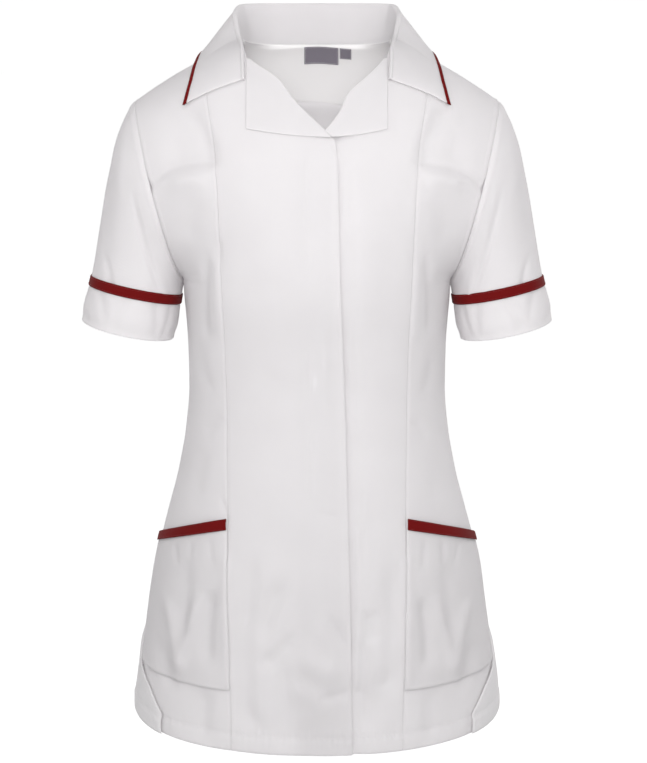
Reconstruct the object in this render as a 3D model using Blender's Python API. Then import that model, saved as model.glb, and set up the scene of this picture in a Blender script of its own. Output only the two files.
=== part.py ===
"""Revere collar tunic with princess seams, short sleeves and hip pockets.

The tunic keeps its worn form with nobody in it: every piece is a thin wall
round an empty space. Metres, +Z up. The wearer faces -Y and the wearer's left
is +X. The origin lies on the centre line at the level of the two points where
the shoulder seams meet the neck.
"""

import math
from collections import namedtuple

import bmesh
import bpy
from mathutils import Vector

# --- Cloth layers -----------------------------------------------------------

WALL = 0.0012            # one layer of body cloth
TRIM_WALL = 0.0010       # folded tape of the red trims
GAP = 0.0003             # clearance at seams and between layers
SEAM_SHARE = 0.0012      # the same at a side seam, as a share of a quarter
SLACK = 0.0008           # clearance under a layer whose facets differ from the panel's
LAPEL_WALL = 0.0016      # a revers is cloth and facing together
COLLAR_WALL = 0.0014     # top collar and under collar together

# --- Body, below the underarm -----------------------------------------------

# One row for each level: half width at the side, depth of the centre front and
# of the centre back, and how far the hem line dips at those two centres.
Section = namedtuple("Section", "height half_width front back front_dip back_dip")
SECTIONS = (
    Section(-0.700, 0.1912, 0.1500, 0.1370, 0.018, 0.010),  # hem
    Section(-0.645, 0.1860, 0.1475, 0.1350, 0.012, 0.007),
    Section(-0.590, 0.1781, 0.1430, 0.1320, 0.006, 0.003),  # hip
    Section(-0.540, 0.1698, 0.1370, 0.1280, 0.002, 0.001),
    Section(-0.495, 0.1588, 0.1300, 0.1210, 0.000, 0.000),  # pocket mouths
    Section(-0.445, 0.1457, 0.1210, 0.1100, 0.000, 0.000),
    Section(-0.400, 0.1377, 0.1130, 0.0980, 0.000, 0.000),
    Section(-0.360, 0.1343, 0.1090, 0.0900, 0.000, 0.000),  # waist
    Section(-0.310, 0.1354, 0.1130, 0.0910, 0.000, 0.000),
    Section(-0.245, 0.1393, 0.1250, 0.1000, 0.000, 0.000),  # underarm
)
HEM = SECTIONS[0].height
UNDERARM = SECTIONS[-1].height
FLAT_SHARE = 0.62        # how far a section runs flat from its centre
SIDE_SHARE = 0.58        # how far it runs straight back from its side

# --- Shoulders and armholes -------------------------------------------------

SHOULDER_TIP = Vector((0.1888, 0.0, -0.062))
NECK_SIDE = 0.0774       # half width between the shoulder-neck points
RIDGE_Y = 0.005          # the shoulder seam at the neck, behind the side plane
RIDGE_TOP = 0.0173       # where the shoulder line would meet the centre
SHOULDER_BOW = 1.7       # how the shoulder line steepens outwards
ARMHOLE_FRONT = 0.065    # how far the armhole reaches forward
ARMHOLE_BACK = 0.062     # and back
ARMHOLE_FLARE = 1.6      # how late the armhole moves out from the side
FRONT_ROUND = 1.0        # curve from the bust up to the shoulder seam
BACK_ROUND = 0.6         # the upper back stays upright longer
LEANS = ((0.0, 90.0), (0.1, 78.0), (0.25, 58.0), (0.5, 32.0), (0.75, 15.0), (1.0, 0.0))
BACK_NECK_ROW = 0.745    # share of the way up where the neck cuts the centre back

# --- Lines on the front, as seen from the front -----------------------------

# Each row gives a height and the distance from the centre line; negative
# distances lie past the centre, on the other side.
PRINCESS = (
    (-0.720, 0.0885), (-0.640, 0.0890), (-0.560, 0.0905), (-0.490, 0.0910),
    (-0.360, 0.0925), (-0.290, 0.0945), (-0.200, 0.0985), (-0.145, 0.1005),
    (-0.100, 0.1050), (-0.060, 0.1110), (0.010, 0.1210),
)
RIGHT_EDGE = (
    (-0.720, -0.0365), (-0.600, -0.0345), (-0.420, -0.0300), (-0.350, -0.0280),
    (-0.240, -0.0235), (-0.150, -0.0215), (-0.117, -0.0205), (-0.0985, -0.0180),
    (-0.0900, -0.0070), (-0.017, 0.0714), (0.001, 0.0774),
)
LEFT_EDGE = (
    (-0.720, -0.0190), (-0.120, -0.0180), (-0.1030, -0.0160),
    (-0.0905, 0.0095), (-0.017, 0.0714), (0.001, 0.0774),
)
SIDE_SEAM = (             # share of the front quarter left of the side seam
    (-0.700, 0.880), (-0.640, 0.905), (-0.560, 0.950), (-0.480, 0.990),
    (-0.420, 1.000), (-0.245, 1.000),
)
VENT_EDGE = ((-0.700, 0.665), (-0.686, 0.672), (-0.664, 0.760), (-0.648, 0.880))
VENT_TOP = -0.650
VENT_FADE = 0.030        # height over which the seam above a vent flattens
VENT_REACH = 0.15        # share of a quarter behind the seam that laps outwards
VENT_LIFT = 0.0032       # how far the lap stands off the front

# --- Sleeves ----------------------------------------------------------------

CUFF_CENTRE = Vector((0.1895, -0.002, -0.2570))  # middle of the trim ring
SLEEVE_LEAN = math.radians(12)
CuffRing = namedtuple("CuffRing", "down half_width half_depth")
CUFF_RINGS = (
    CuffRing(-0.0060, 0.0478, 0.0520),
    CuffRing(0.0000, 0.0480, 0.0522),
    CuffRing(0.0120, 0.0492, 0.0532),
    CuffRing(0.0260, 0.0502, 0.0540),
    CuffRing(0.0420, 0.0485, 0.0518),
)
CUFF_LENGTH = 0.042
CUFF_DIP = 0.08          # share by which the cuff is deeper at its front
TRIM_WIDTH = 0.0098
CAP_TURN = math.radians(22)   # how far round the arm the cap spreads
SLEEVE_LEAVE = 0.24      # length of the handles at the armhole and at the trim,
SLEEVE_HANG = 0.36       # as shares of the sleeve's length there
ARMHOLE_GAP = 0.0010

# --- Collar, from the centre back to the notch ------------------------------

# fold is the top of the roll and seam the foot of the stand. The outer edge is
# given on the body: front or back, distance from the centre, height and lift.
Station = namedtuple("Station", "fold seam lean radius side across height lift")
COLLAR = (
    Station((0.0000, 0.0740, 0.0405), (0.0000, 0.0612, -0.0050),
            0, 0.0035, "back", 0.000, -0.0330, 0.0050),
    Station((0.0450, 0.0715, 0.0405), (0.0400, 0.0560, -0.0045),
            0, 0.0035, "back", 0.058, -0.0318, 0.0050),
    Station((0.0800, 0.0530, 0.0390), (0.0680, 0.0330, -0.0020),
            0, 0.0035, "back", 0.097, -0.0270, 0.0055),
    Station((0.0850, 0.0230, 0.0290), (0.0778, 0.0060, 0.0010),
            5, 0.0032, "back", 0.1175, -0.0185, 0.0065),
    Station((0.0810, -0.0050, 0.0085), (0.0775, -0.0060, -0.0010),
            25, 0.0026, "front", 0.1230, -0.0260, 0.0050),
    Station((0.0740, -0.0370, -0.0150), (0.0728, -0.0340, -0.0170),
            45, 0.0018, "front", 0.1280, -0.0450, 0.0040),
    Station((0.0732, -0.0655, -0.0420), (0.0726, -0.0625, -0.0425),
            55, 0.0016, "front", 0.1335, -0.0655, 0.0035),
)
FALL_START = 0.34        # handles of the fall's curve, as shares of its depth
FALL_END = 0.35
FALL_BOW = 0.12          # how far the fall bows outwards, less and less to the notch
COLLAR_CLEAR = 0.0034    # least height of the collar's face above the front
PIPING_WIDTH = 0.0047
PIPING_DEPTH = 0.0024

# --- Revers -----------------------------------------------------------------

LAPEL_TOP = (0.0690, -0.0190)      # distance and height where the roll begins
LAPEL_OUTER = 0.0706               # the upright outer edge
LAPEL_CORNER = -0.0880             # height of the outer corner
RIGHT_LAPEL_ROLL = ((-0.0070, -0.0895), (-0.0125, -0.0965))
LEFT_LAPEL_ROLL = ((0.0095, -0.0905), (0.0160, -0.0960))

# --- Pieces inside the neck -------------------------------------------------

FACING_ROW = 1.66        # row of the facing's lower edge
LABEL = (-0.0134, 0.0226, 0.0200)   # left, right, drop
SIZE_TAB = (0.0245, 0.0364, 0.0130)
LABEL_WALL = 0.0010
LABEL_ROW_HEIGHT = 0.21  # height of one row's worth of the back under the neck

# --- Pockets ----------------------------------------------------------------

POCKET_TOP_IN = -0.4830
POCKET_TOP_OUT = -0.5160
POCKET_BOTTOM = -0.6430

# --- Fastening --------------------------------------------------------------

ZIP_CENTRE = -0.003
ZIP_HALF = 0.011
CHAIN_HALF = 0.0026
CHAIN_STEP = 0.0008      # width of the slope from tape to chain
ZIP_ROWS = (0.2, 1.35)   # rows between which the zip runs
TAPE_WALL = 0.0008
CHAIN_WALL = 0.0016
UNDERLAP_DROP = WALL + GAP + CHAIN_WALL + SLACK
UNDERLAP_RAMP = 0.022    # how far past the overlap the left front rises again

# --- Colours ----------------------------------------------------------------

MATERIALS = {
    "cloth": ((0.86, 0.86, 0.87, 1.0), 0.85),
    "trim": ((0.25, 0.01, 0.015, 1.0), 0.75),
    "label": ((0.27, 0.26, 0.25, 1.0), 0.7),
    "zip": ((0.85, 0.85, 0.85, 1.0), 0.5),
}


# --- Small helpers ----------------------------------------------------------

def mix(low, high, share):
    return low + (high - low) * share


def smooth(share):
    share = min(1.0, max(0.0, share))
    return share * share * (3.0 - 2.0 * share)


def steps(count):
    return [index / count for index in range(count + 1)]


def along(table, key, column=1, curved=True):
    """Value of a column at a key, on a curve through the table's rows."""
    keys = [row[0] for row in table]
    values = [row[column] for row in table]
    if key <= keys[0]:
        return values[0]
    if key >= keys[-1]:
        return values[-1]
    index = max(i for i in range(len(keys) - 1) if keys[i] <= key)
    width = keys[index + 1] - keys[index]
    share = (key - keys[index]) / width
    if not curved:
        return mix(values[index], values[index + 1], share)
    slopes = []
    for i in (index, index + 1):
        if i in (0, len(keys) - 1):
            slopes.append(0.0)
            continue
        before = (values[i] - values[i - 1]) / (keys[i] - keys[i - 1])
        after = (values[i + 1] - values[i]) / (keys[i + 1] - keys[i])
        same_way = before * after > 0.0
        slopes.append(2.0 * before * after / (before + after) if same_way else 0.0)
    square, cube = share ** 2, share ** 3
    return ((2 * cube - 3 * square + 1) * values[index]
            + (cube - 2 * square + share) * width * slopes[0]
            + (3 * square - 2 * cube) * values[index + 1]
            + (cube - square) * width * slopes[1])


def bezier(points, share):
    rest = 1.0 - share
    weights = (rest ** 3, 3 * rest ** 2 * share, 3 * rest * share ** 2, share ** 3)
    total = points[0] * weights[0]
    for point, weight in zip(points[1:], weights[1:]):
        total = total + point * weight
    return total


def mirrored(grid):
    return [[Vector((-point.x, point.y, point.z)) for point in row] for row in grid]


# --- The body's surface -----------------------------------------------------
#
# A row is numbered 0 at the hem, 1 at the underarm and 2 at the shoulder seam.
# Round a row, 0 is the centre front, 1 the side or armhole, 2 the centre back.

def armhole(row):
    """Edge of the armhole at a row above the underarm: width, reach and height."""
    rise = row - 1.0
    turn = math.pi * (1.0 - rise)
    middle = (SHOULDER_TIP.z + UNDERARM) / 2
    half = (SHOULDER_TIP.z - UNDERARM) / 2
    flare = max(0.0, math.sin(math.pi / 2 * rise)) ** ARMHOLE_FLARE
    width = mix(SECTIONS[-1].half_width, SHOULDER_TIP.x, flare)
    return width, math.sin(turn), middle + half * math.cos(turn)


def row_shape(side, row):
    """Handles of a row's curve from the centre to the side, and its heights."""
    front = side == "front"
    sign = -1.0 if front else 1.0
    if row <= 1.0:
        height = mix(HEM, UNDERARM, row)
        column = 2 if front else 3
        width = along(SECTIONS, height, 1)
        depth = along(SECTIONS, height, column)
        dip = along(SECTIONS, height, column + 2)
        start = Vector((0.0, sign * depth))
        end = Vector((width, 0.0))
        lean = 90.0
        low = height - dip
    else:
        width, reach, height = armhole(row)
        turn = math.pi / 2 * (row - 1.0)
        bow = max(0.0, math.cos(turn)) ** (FRONT_ROUND if front else BACK_ROUND)
        depth = SECTIONS[-1].front if front else SECTIONS[-1].back
        start = Vector((0.0, mix(RIDGE_Y, sign * depth, bow)))
        end = Vector((width, sign * reach * (ARMHOLE_FRONT if front else ARMHOLE_BACK)))
        lean = along(LEANS, row - 1.0)
        low = UNDERARM + (RIDGE_TOP - UNDERARM) * math.sin(turn)
    angle = math.radians(lean)
    span = abs(end.y - start.y)
    handle = SIDE_SHARE * (width * math.cos(angle) ** 2 + span * math.sin(angle) ** 2)
    before_end = end + Vector((-math.cos(angle), sign * math.sin(angle))) * handle
    after_start = start + Vector((FLAT_SHARE * width, 0.0))
    return (start, after_start, before_end, end), low, height


def quarter(side, row, share):
    """Point on the front or back quarter; a negative share mirrors it."""
    handles, low, height = row_shape(side, row)
    flat = bezier(handles, abs(share))
    if row <= 1.0:
        span = handles[0].y - handles[3].y
        rise = 1.0 - (flat.y - handles[3].y) / span
    else:
        rise = (flat.x / handles[3].x) ** SHOULDER_BOW
    return Vector((math.copysign(flat.x, share), flat.y, mix(low, height, rise)))


def body(row, around):
    """Point round the body: 0 centre front, 1 side, 2 centre back."""
    if around <= 1.0:
        return quarter("front", row, around)
    return quarter("back", row, 2.0 - around)


def body_normal(row, around):
    """Direction out of the cloth at a point of the body."""
    reach = 0.004
    low, high = max(0.0, row - reach), min(2.0, row + reach)
    if row <= 1.0:
        high = min(1.0, high)
    else:
        low = max(1.0, low)
    across = body(row, around + reach) - body(row, around - reach)
    up = body(high, around) - body(low, around)
    return across.cross(up).normalized()


def lifted(row, around, lift):
    return body(row, around) + body_normal(row, around) * lift


def share_at(side, row, across, turns=30):
    """Share round a quarter where it lies a given distance from the centre."""
    low, high = 0.0, 1.0
    for _ in range(turns):
        middle = (low + high) / 2
        if quarter(side, row, middle).x < abs(across):
            low = middle
        else:
            high = middle
    return math.copysign((low + high) / 2, across)


def share_on_line(row, line, shift=0.0):
    """Share round the front where a line drawn from the front crosses a row."""
    low, high = -1.0, 1.0
    for _ in range(30):
        middle = (low + high) / 2
        point = quarter("front", row, middle)
        if point.x < along(line, point.z, curved=False) + shift:
            low = middle
        else:
            high = middle
    return (low + high) / 2


def place_at(side, across, height, turns=30):
    """Row and share of a quarter at a distance and height seen from the front."""
    low, high = 0.0, 2.0
    for _ in range(turns):
        row = (low + high) / 2
        if quarter(side, row, share_at(side, row, across, turns)).z < height:
            low = row
        else:
            high = row
    row = (low + high) / 2
    return row, share_at(side, row, across, turns)


def row_at(height):
    return (height - HEM) / (UNDERARM - HEM)


# --- Solids from grids of points --------------------------------------------

def shell(name, outer, inner, material, wrap=False):
    """Closed wall between two grids of points; wrap joins each row's ends."""
    rows, columns = len(outer), len(outer[0])
    mesh = bpy.data.meshes.new(name)
    build = bmesh.new()
    outside = [[build.verts.new(point) for point in row] for row in outer]
    inside = [[build.verts.new(point) for point in row] for row in inner]
    last = columns if wrap else columns - 1
    for i in range(rows - 1):
        for j in range(last):
            k = (j + 1) % columns
            build.faces.new((outside[i][j], outside[i][k], outside[i + 1][k], outside[i + 1][j]))
            build.faces.new((inside[i][j], inside[i + 1][j], inside[i + 1][k], inside[i][k]))
    for j in range(last):
        k = (j + 1) % columns
        build.faces.new((outside[0][j], inside[0][j], inside[0][k], outside[0][k]))
        build.faces.new((outside[-1][j], outside[-1][k], inside[-1][k], inside[-1][j]))
    if not wrap:
        for i in range(rows - 1):
            build.faces.new((outside[i][0], outside[i + 1][0], inside[i + 1][0], inside[i][0]))
            build.faces.new((outside[i][-1], inside[i][-1], inside[i + 1][-1], outside[i + 1][-1]))
    bmesh.ops.recalc_face_normals(build, faces=build.faces)
    build.to_mesh(mesh)
    build.free()
    mesh.materials.append(material)
    mesh.shade_smooth()
    mesh.set_sharp_from_angle(angle=math.radians(40))
    thing = bpy.data.objects.new(name, mesh)
    bpy.context.scene.collection.objects.link(thing)
    return thing


def rod(name, rings, material):
    """Solid rod through rings of points."""
    mesh = bpy.data.meshes.new(name)
    build = bmesh.new()
    loops = [[build.verts.new(point) for point in ring] for ring in rings]
    count = len(rings[0])
    for before, after in zip(loops, loops[1:]):
        for j in range(count):
            k = (j + 1) % count
            build.faces.new((before[j], before[k], after[k], after[j]))
    build.faces.new(loops[0])
    build.faces.new(loops[-1])
    bmesh.ops.recalc_face_normals(build, faces=build.faces)
    build.to_mesh(mesh)
    build.free()
    mesh.materials.append(material)
    mesh.shade_smooth()
    mesh.set_sharp_from_angle(angle=math.radians(50))
    thing = bpy.data.objects.new(name, mesh)
    bpy.context.scene.collection.objects.link(thing)
    return thing


def body_layer(places, lift, wall):
    """Grids of a layer on the body: places are rows of (row, around) pairs."""
    outer = [[lifted(row, around, lift) for row, around in line] for line in places]
    inner = [[lifted(row, around, lift - wall) for row, around in line] for line in places]
    return outer, inner


def pair(name, outer, inner, material):
    """The same piece on the wearer's left (+X) and right."""
    shell(name + "_left", outer, inner, material)
    shell(name + "_right", mirrored(outer), mirrored(inner), material)


# --- Body panels ------------------------------------------------------------

LOWER_ROWS = [row_at(height) for height in (
    -0.700, -0.665, -0.625, -0.585, -0.540, -0.495, -0.450, -0.405, -0.360, -0.315, -0.275)]
UPPER_ROWS = [1.0 + rise for rise in (
    0.0, 0.11, 0.22, 0.32, 0.387, 0.414, 0.50, 0.58, 0.66, 0.75, 0.83, 0.90, 0.95, 1.0)]
PANEL_ROWS = LOWER_ROWS + UPPER_ROWS
TOP_SHIFT = 0.002        # rows short of the shoulder seam by half its gap


def panel_row(row):
    return min(row, 2.0 - TOP_SHIFT)


def underlap_drop(point):
    """How far the left front lies under the right one."""
    edge = -along(RIGHT_EDGE, min(point.z, -0.0985), curved=False)
    return UNDERLAP_DROP * (1.0 - smooth((point.x - edge) / UNDERLAP_RAMP))


def build_fronts(material):
    """Centre fronts: the right one to its overlap edge, the left one under it."""
    places = []
    for row in map(panel_row, PANEL_ROWS):
        inner_end = share_on_line(row, RIGHT_EDGE)
        outer_end = share_on_line(row, PRINCESS, -GAP / 2)
        places.append([(row, mix(inner_end, outer_end, step)) for step in steps(7)])
    outer, inner = body_layer(places, 0.0, WALL)
    shell("front_right", mirrored(outer), mirrored(inner), material)

    outer, inner = [], []
    for row in map(panel_row, PANEL_ROWS):
        inner_end = share_on_line(row, LEFT_EDGE)
        outer_end = share_on_line(row, PRINCESS, -GAP / 2)
        line = [mix(inner_end, outer_end, step) for step in steps(8)]
        drops = [underlap_drop(body(row, around)) for around in line]
        outer.append([lifted(row, around, -drop) for around, drop in zip(line, drops)])
        inner.append([lifted(row, around, -drop - WALL) for around, drop in zip(line, drops)])
    shell("front_left", outer, inner, material)


def side_seam(row):
    """Where the side seam or the armhole edge lies round a row."""
    if row > 1.0:
        return 1.0
    return along(SIDE_SEAM, mix(HEM, UNDERARM, row))


def build_side_fronts(material):
    places = []
    for row in map(panel_row, PANEL_ROWS):
        inner_end = share_on_line(row, PRINCESS, GAP / 2)
        outer_end = side_seam(row) - SEAM_SHARE
        places.append([(row, mix(inner_end, outer_end, step)) for step in steps(8)])
    outer, inner = body_layer(places, 0.0, WALL)
    pair("side_front", outer, inner, material)


def back_edge(row):
    """Where the back ends round a row, past the side at the vents."""
    if row > 1.0:
        return 1.0 + SEAM_SHARE
    height = mix(HEM, UNDERARM, row)
    if height < VENT_EDGE[-1][0]:
        return along(VENT_EDGE, height, curved=False)
    return side_seam(row) + SEAM_SHARE


def vent_lift(row, around):
    """The back laps over the front at a vent and settles above it."""
    height = mix(HEM, UNDERARM, row)
    if row > 1.0:
        return 0.0
    near = 1.0 - smooth((around - side_seam(row) - VENT_REACH) / VENT_REACH)
    fade = 1.0 - smooth((height - VENT_TOP - VENT_FADE / 2) / VENT_FADE)
    return VENT_LIFT * near * fade


def back_columns():
    """Shares round a back quarter, with the row where the neck or shoulder cuts each."""
    neck_share = share_at("back", 2.0, NECK_SIDE)
    turns = [math.pi / 2 * step for step in steps(5)]
    columns = [(neck_share * math.sin(turn), 2.0 - (1.0 - BACK_NECK_ROW) * math.cos(turn))
               for turn in turns]
    return columns + [(mix(neck_share, 1.0, math.sin(math.pi / 2 * step)), 2.0)
                      for step in steps(8)[1:]]


def back_place(row, share, top):
    """Row and share of a grid point of the back, squeezed under the neck edge."""
    place = row if row <= 1.0 else 1.0 + (row - 1.0) * (top - 1.0)
    place = min(place, top - TOP_SHIFT)
    return place, 2.0 - share * (2.0 - back_edge(place))


def both_sides(half):
    """A row from the centre outwards, carried over the centre to both sides."""
    return mirrored([half[:0:-1]])[0] + half


def build_back(material):
    """One back, cut out at the neck, from side seam to side seam."""
    outer, inner = [], []
    back_rows = [row_at(height) for height in (-0.700, -0.686, -0.664, -0.648)]
    back_rows += [row for row in PANEL_ROWS if row > row_at(-0.645)]
    for row in back_rows:
        line = [back_place(row, share, top) for share, top in back_columns()]
        lifts = [vent_lift(place, around) for place, around in line]
        outer.append(both_sides([lifted(*at, lift) for at, lift in zip(line, lifts)]))
        inner.append(both_sides([lifted(*at, lift - WALL) for at, lift in zip(line, lifts)]))
    shell("back", outer, inner, material)


def build_back_neck_facing(material):
    """Inside the back, from the neck edge down to a level edge."""
    columns = [column for column in back_columns() if column[1] < 1.999]
    rows = [row for row in UPPER_ROWS if row >= FACING_ROW]
    outer, inner = [], []
    for row in rows:
        line = [back_place(row, share, top) for share, top in columns]
        outer.append(both_sides([lifted(*at, -WALL - GAP) for at in line]))
        inner.append(both_sides([lifted(*at, -2 * WALL - GAP) for at in line]))
    shell("back_neck_facing", outer, inner, material)


# --- Sleeves and cuffs ------------------------------------------------------

def cuff_point(down, turn, lift=0.0):
    """Point of the lower sleeve; turn 0 is its outer side, 90 degrees its front."""
    axis = Vector((math.sin(SLEEVE_LEAN), 0.0, -math.cos(SLEEVE_LEAN)))
    out = Vector((math.cos(SLEEVE_LEAN), 0.0, math.sin(SLEEVE_LEAN)))
    front = Vector((0.0, -1.0, 0.0))
    deep = down * (1.0 + CUFF_DIP * max(0.0, math.sin(turn)))
    width = along(CUFF_RINGS, down, 1) + lift
    depth = along(CUFF_RINGS, down, 2) + lift
    return CUFF_CENTRE + axis * deep + out * width * math.cos(turn) + front * depth * math.sin(turn)


def armhole_point(turn):
    """Point of the armhole; turn 0 is the shoulder tip, 90 degrees the front."""
    front = math.sin(turn) >= 0.0
    half_turn = turn if turn <= math.pi else 2 * math.pi - turn
    width, reach, height = armhole(2.0 - half_turn / math.pi)
    reach *= -ARMHOLE_FRONT if front else ARMHOLE_BACK
    return Vector((width, reach, height))


def sleeve_point(down, turn):
    """Point of the sleeve from the armhole (0) to the trim (1)."""
    start = armhole_point(turn)
    end = cuff_point(-GAP / 2, arm_turn(turn))
    span = (end - start).length
    under = (1.0 - math.cos(turn)) / 2
    slope = math.radians(mix(52.0, 84.0, under) - 12.0 * abs(math.sin(turn)))
    leave = Vector((math.cos(slope), 0.0, -math.sin(slope)))
    start = start + Vector((ARMHOLE_GAP, 0.0, 0.0))
    axis = Vector((math.sin(SLEEVE_LEAN), 0.0, -math.cos(SLEEVE_LEAN)))
    handles = (start, start + leave * SLEEVE_LEAVE * span, end - axis * SLEEVE_HANG * span, end)
    return bezier(handles, down)


def sleeve_normal(down, turn):
    reach = 0.01
    low, high = max(0.0, down - reach), min(1.0, down + reach)
    around = sleeve_point(down, turn + reach) - sleeve_point(down, turn - reach)
    along_arm = sleeve_point(high, turn) - sleeve_point(low, turn)
    return around.cross(along_arm).normalized()


def arm_turn(turn):
    """Turn round the arm that a turn round the armhole runs down to."""
    return turn + CAP_TURN * math.sin(turn)


def trim_line(turn, lift):
    """Points across the trim: on the sleeve, on the seam and on the cuff."""
    span = (cuff_point(0.0, arm_turn(turn)) - armhole_point(turn)).length
    down = 1.0 - TRIM_WIDTH / 2 / (3 * SLEEVE_HANG * span)
    upper = sleeve_point(down, turn) + sleeve_normal(down, turn) * lift
    return (upper, cuff_point(0.0, arm_turn(turn), lift),
            cuff_point(TRIM_WIDTH / 2, arm_turn(turn), lift))


def build_sleeves(cloth, trim):
    front_turns = [math.pi * (2.0 - row) for row in UPPER_ROWS]
    turns = front_turns + [2 * math.pi - turn for turn in front_turns[-2:0:-1]]
    outer = [[sleeve_point(down, turn) for turn in turns] for down in steps(8)]
    inner = [[sleeve_point(down, turn) - sleeve_normal(down, turn) * WALL for turn in turns]
             for down in steps(8)]
    downs = [mix(GAP / 2, CUFF_LENGTH, step) for step in steps(4)]
    cuff_outer = [[cuff_point(down, arm_turn(turn)) for turn in turns] for down in downs]
    cuff_inner = [[cuff_point(down, arm_turn(turn), -WALL) for turn in turns] for down in downs]
    trim_outer = list(zip(*[trim_line(turn, GAP + TRIM_WALL) for turn in turns]))
    trim_inner = list(zip(*[trim_line(turn, GAP) for turn in turns]))
    for name, grids, material in (
            ("sleeve", (outer, inner), cloth),
            ("cuff", (cuff_outer, cuff_inner), cloth),
            ("cuff_trim", (trim_outer, trim_inner), trim)):
        shell(name + "_left", grids[0], grids[1], material, wrap=True)
        shell(name + "_right", mirrored(grids[0]), mirrored(grids[1]), material, wrap=True)


# --- Collar -----------------------------------------------------------------

def collar_station(place):
    """Fold, seam, edge, lean and fold radius at a place from 0 (back) to 1 (notch)."""
    keys = steps(len(COLLAR) - 1)

    def blend(pick):
        return along([(key, pick(station)) for key, station in zip(keys, COLLAR)], place)

    def blend_point(pick):
        return Vector([blend(lambda station, axis=axis: pick(station)[axis]) for axis in range(3)])

    def edge(station):
        row, share = place_at(station.side, station.across, station.height)
        around = share if station.side == "front" else 2.0 - share
        return lifted(row, around, station.lift)

    fold = blend_point(lambda station: station.fold)
    seam = blend_point(lambda station: station.seam)
    rim = blend_point(edge)
    return fold, seam, rim, math.radians(blend(lambda s: s.lean)), blend(lambda s: s.radius)


def collar_profile(place):
    """Points of the collar's visible face, from the seam over the fold to the edge."""
    fold, seam, rim, lean, radius = collar_station(place)
    out = rim - fold
    out.z = 0.0
    out.normalize()
    up = Vector((0.0, -math.sin(lean), math.cos(lean)))
    out = (out - up * out.dot(up)).normalized()
    centre = fold - up * radius
    turns = [math.pi * (1.0 - step) for step in steps(4)]
    roll = [centre + out * radius * math.cos(turn) + up * radius * math.sin(turn) for turn in turns]
    push = max((off_front(point, COLLAR_CLEAR) - point for point in roll), key=lambda v: v.length)
    roll = [point + push for point in roll]
    stand = [seam.lerp(roll[0], step) for step in steps(2)[:-1]]
    start = roll[-1]
    span = (rim - start).length
    land = (rim - start).normalized()
    rise = (land * FALL_START + up * FALL_BOW * (1.0 - place ** 4)) * span
    handles = (start, start + rise, rim - land * FALL_END * span, rim)
    fall = [off_front(bezier(handles, step), COLLAR_CLEAR) for step in steps(10)[1:]]
    return [off_front(point, SLACK) for point in stand], roll, fall


def off_front(point, clear):
    """Point moved off the front where the collar would touch it."""
    if point.y > RIDGE_Y:
        return point
    row, share = place_at("front", point.x, point.z, 14)
    normal = body_normal(row, share)
    height = (point - quarter("front", row, share)).dot(normal)
    return point + normal * max(0.0, clear - height)


def trimmed(points, start, distance):
    """Points of a line, from start, that stops a distance short of its end."""
    line = [start] + points
    left = distance
    while (line[-1] - line[-2]).length < left:
        left -= (line[-1] - line[-2]).length
        line.pop()
    line[-1] = line[-1] + (line[-2] - line[-1]).normalized() * left
    lengths = [0.0]
    for before, after in zip(line, line[1:]):
        lengths.append(lengths[-1] + (after - before).length)
    even = []
    for step in steps(5)[1:]:
        goal = lengths[-1] * step
        index = max(i for i in range(len(lengths) - 1) if lengths[i] <= goal)
        share = (goal - lengths[index]) / (lengths[index + 1] - lengths[index])
        even.append(line[index].lerp(line[index + 1], share))
    return even


def grid_normals(grid):
    """Normals of a grid of points, from its neighbours."""
    normals = []
    for i, row in enumerate(grid):
        line = []
        for j in range(len(row)):
            below, above = grid[max(0, i - 1)], grid[min(len(grid) - 1, i + 1)]
            along_rows = above[j] - below[j]
            across = row[min(len(row) - 1, j + 1)] - row[max(0, j - 1)]
            line.append(across.cross(along_rows).normalized())
        normals.append(line)
    return normals


def build_collar(cloth, trim):
    places = [step * 2 - 1 for step in steps(28)]
    grid, edges = [], []
    for place in places:
        stand, roll, fall = collar_profile(abs(place))
        line = stand + roll + trimmed(fall, roll[-1], PIPING_WIDTH + GAP)
        rim, before = fall[-1], fall[-2]
        if place < 0.0:
            line, (rim, before) = mirrored([line])[0], mirrored([[rim, before]])[0]
        grid.append(line)
        edges.append((rim, (rim - before).normalized()))
    normals = grid_normals(grid)
    inner = [[point + normal * COLLAR_WALL for point, normal in zip(row, line)]
             for row, line in zip(grid, normals)]
    shell("collar", grid, inner, cloth)

    sides = [2 * math.pi * step for step in steps(8)[:-1]]
    tube = []
    for (rim, outward), normal in zip(edges, (line[-1] for line in normals)):
        up = -normal
        up = (up - outward * up.dot(outward)).normalized()
        centre = rim - outward * PIPING_WIDTH / 2 - up * COLLAR_WALL / 2
        tube.append([centre + outward * PIPING_WIDTH / 2 * math.cos(turn)
                     + up * PIPING_DEPTH / 2 * math.sin(turn) for turn in sides])
    rod("collar_piping", tube, trim)


# --- Revers -----------------------------------------------------------------

def lapel_places(turning, end):
    """Places of a revers: from its roll line out to its upright edge."""
    places = []
    top_across, top_height = LAPEL_TOP
    for step in steps(9):
        share = mix(0.05, 1.0, step)
        if share < 0.92:
            part = share / 0.92
            roll = (mix(top_across, turning[0], part), mix(top_height, turning[1], part))
        else:
            part = (share - 0.92) / 0.08
            roll = (mix(turning[0], end[0], part), mix(turning[1], end[1], part))
        edge = (LAPEL_OUTER, mix(top_height, LAPEL_CORNER, share))
        line = []
        for across_step in steps(7):
            sag = 0.0015 * math.sin(math.pi * across_step) * share
            line.append(place_at("front", mix(roll[0], edge[0], across_step),
                                 mix(roll[1], edge[1], across_step) - sag))
        places.append(line)
    return places


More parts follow.
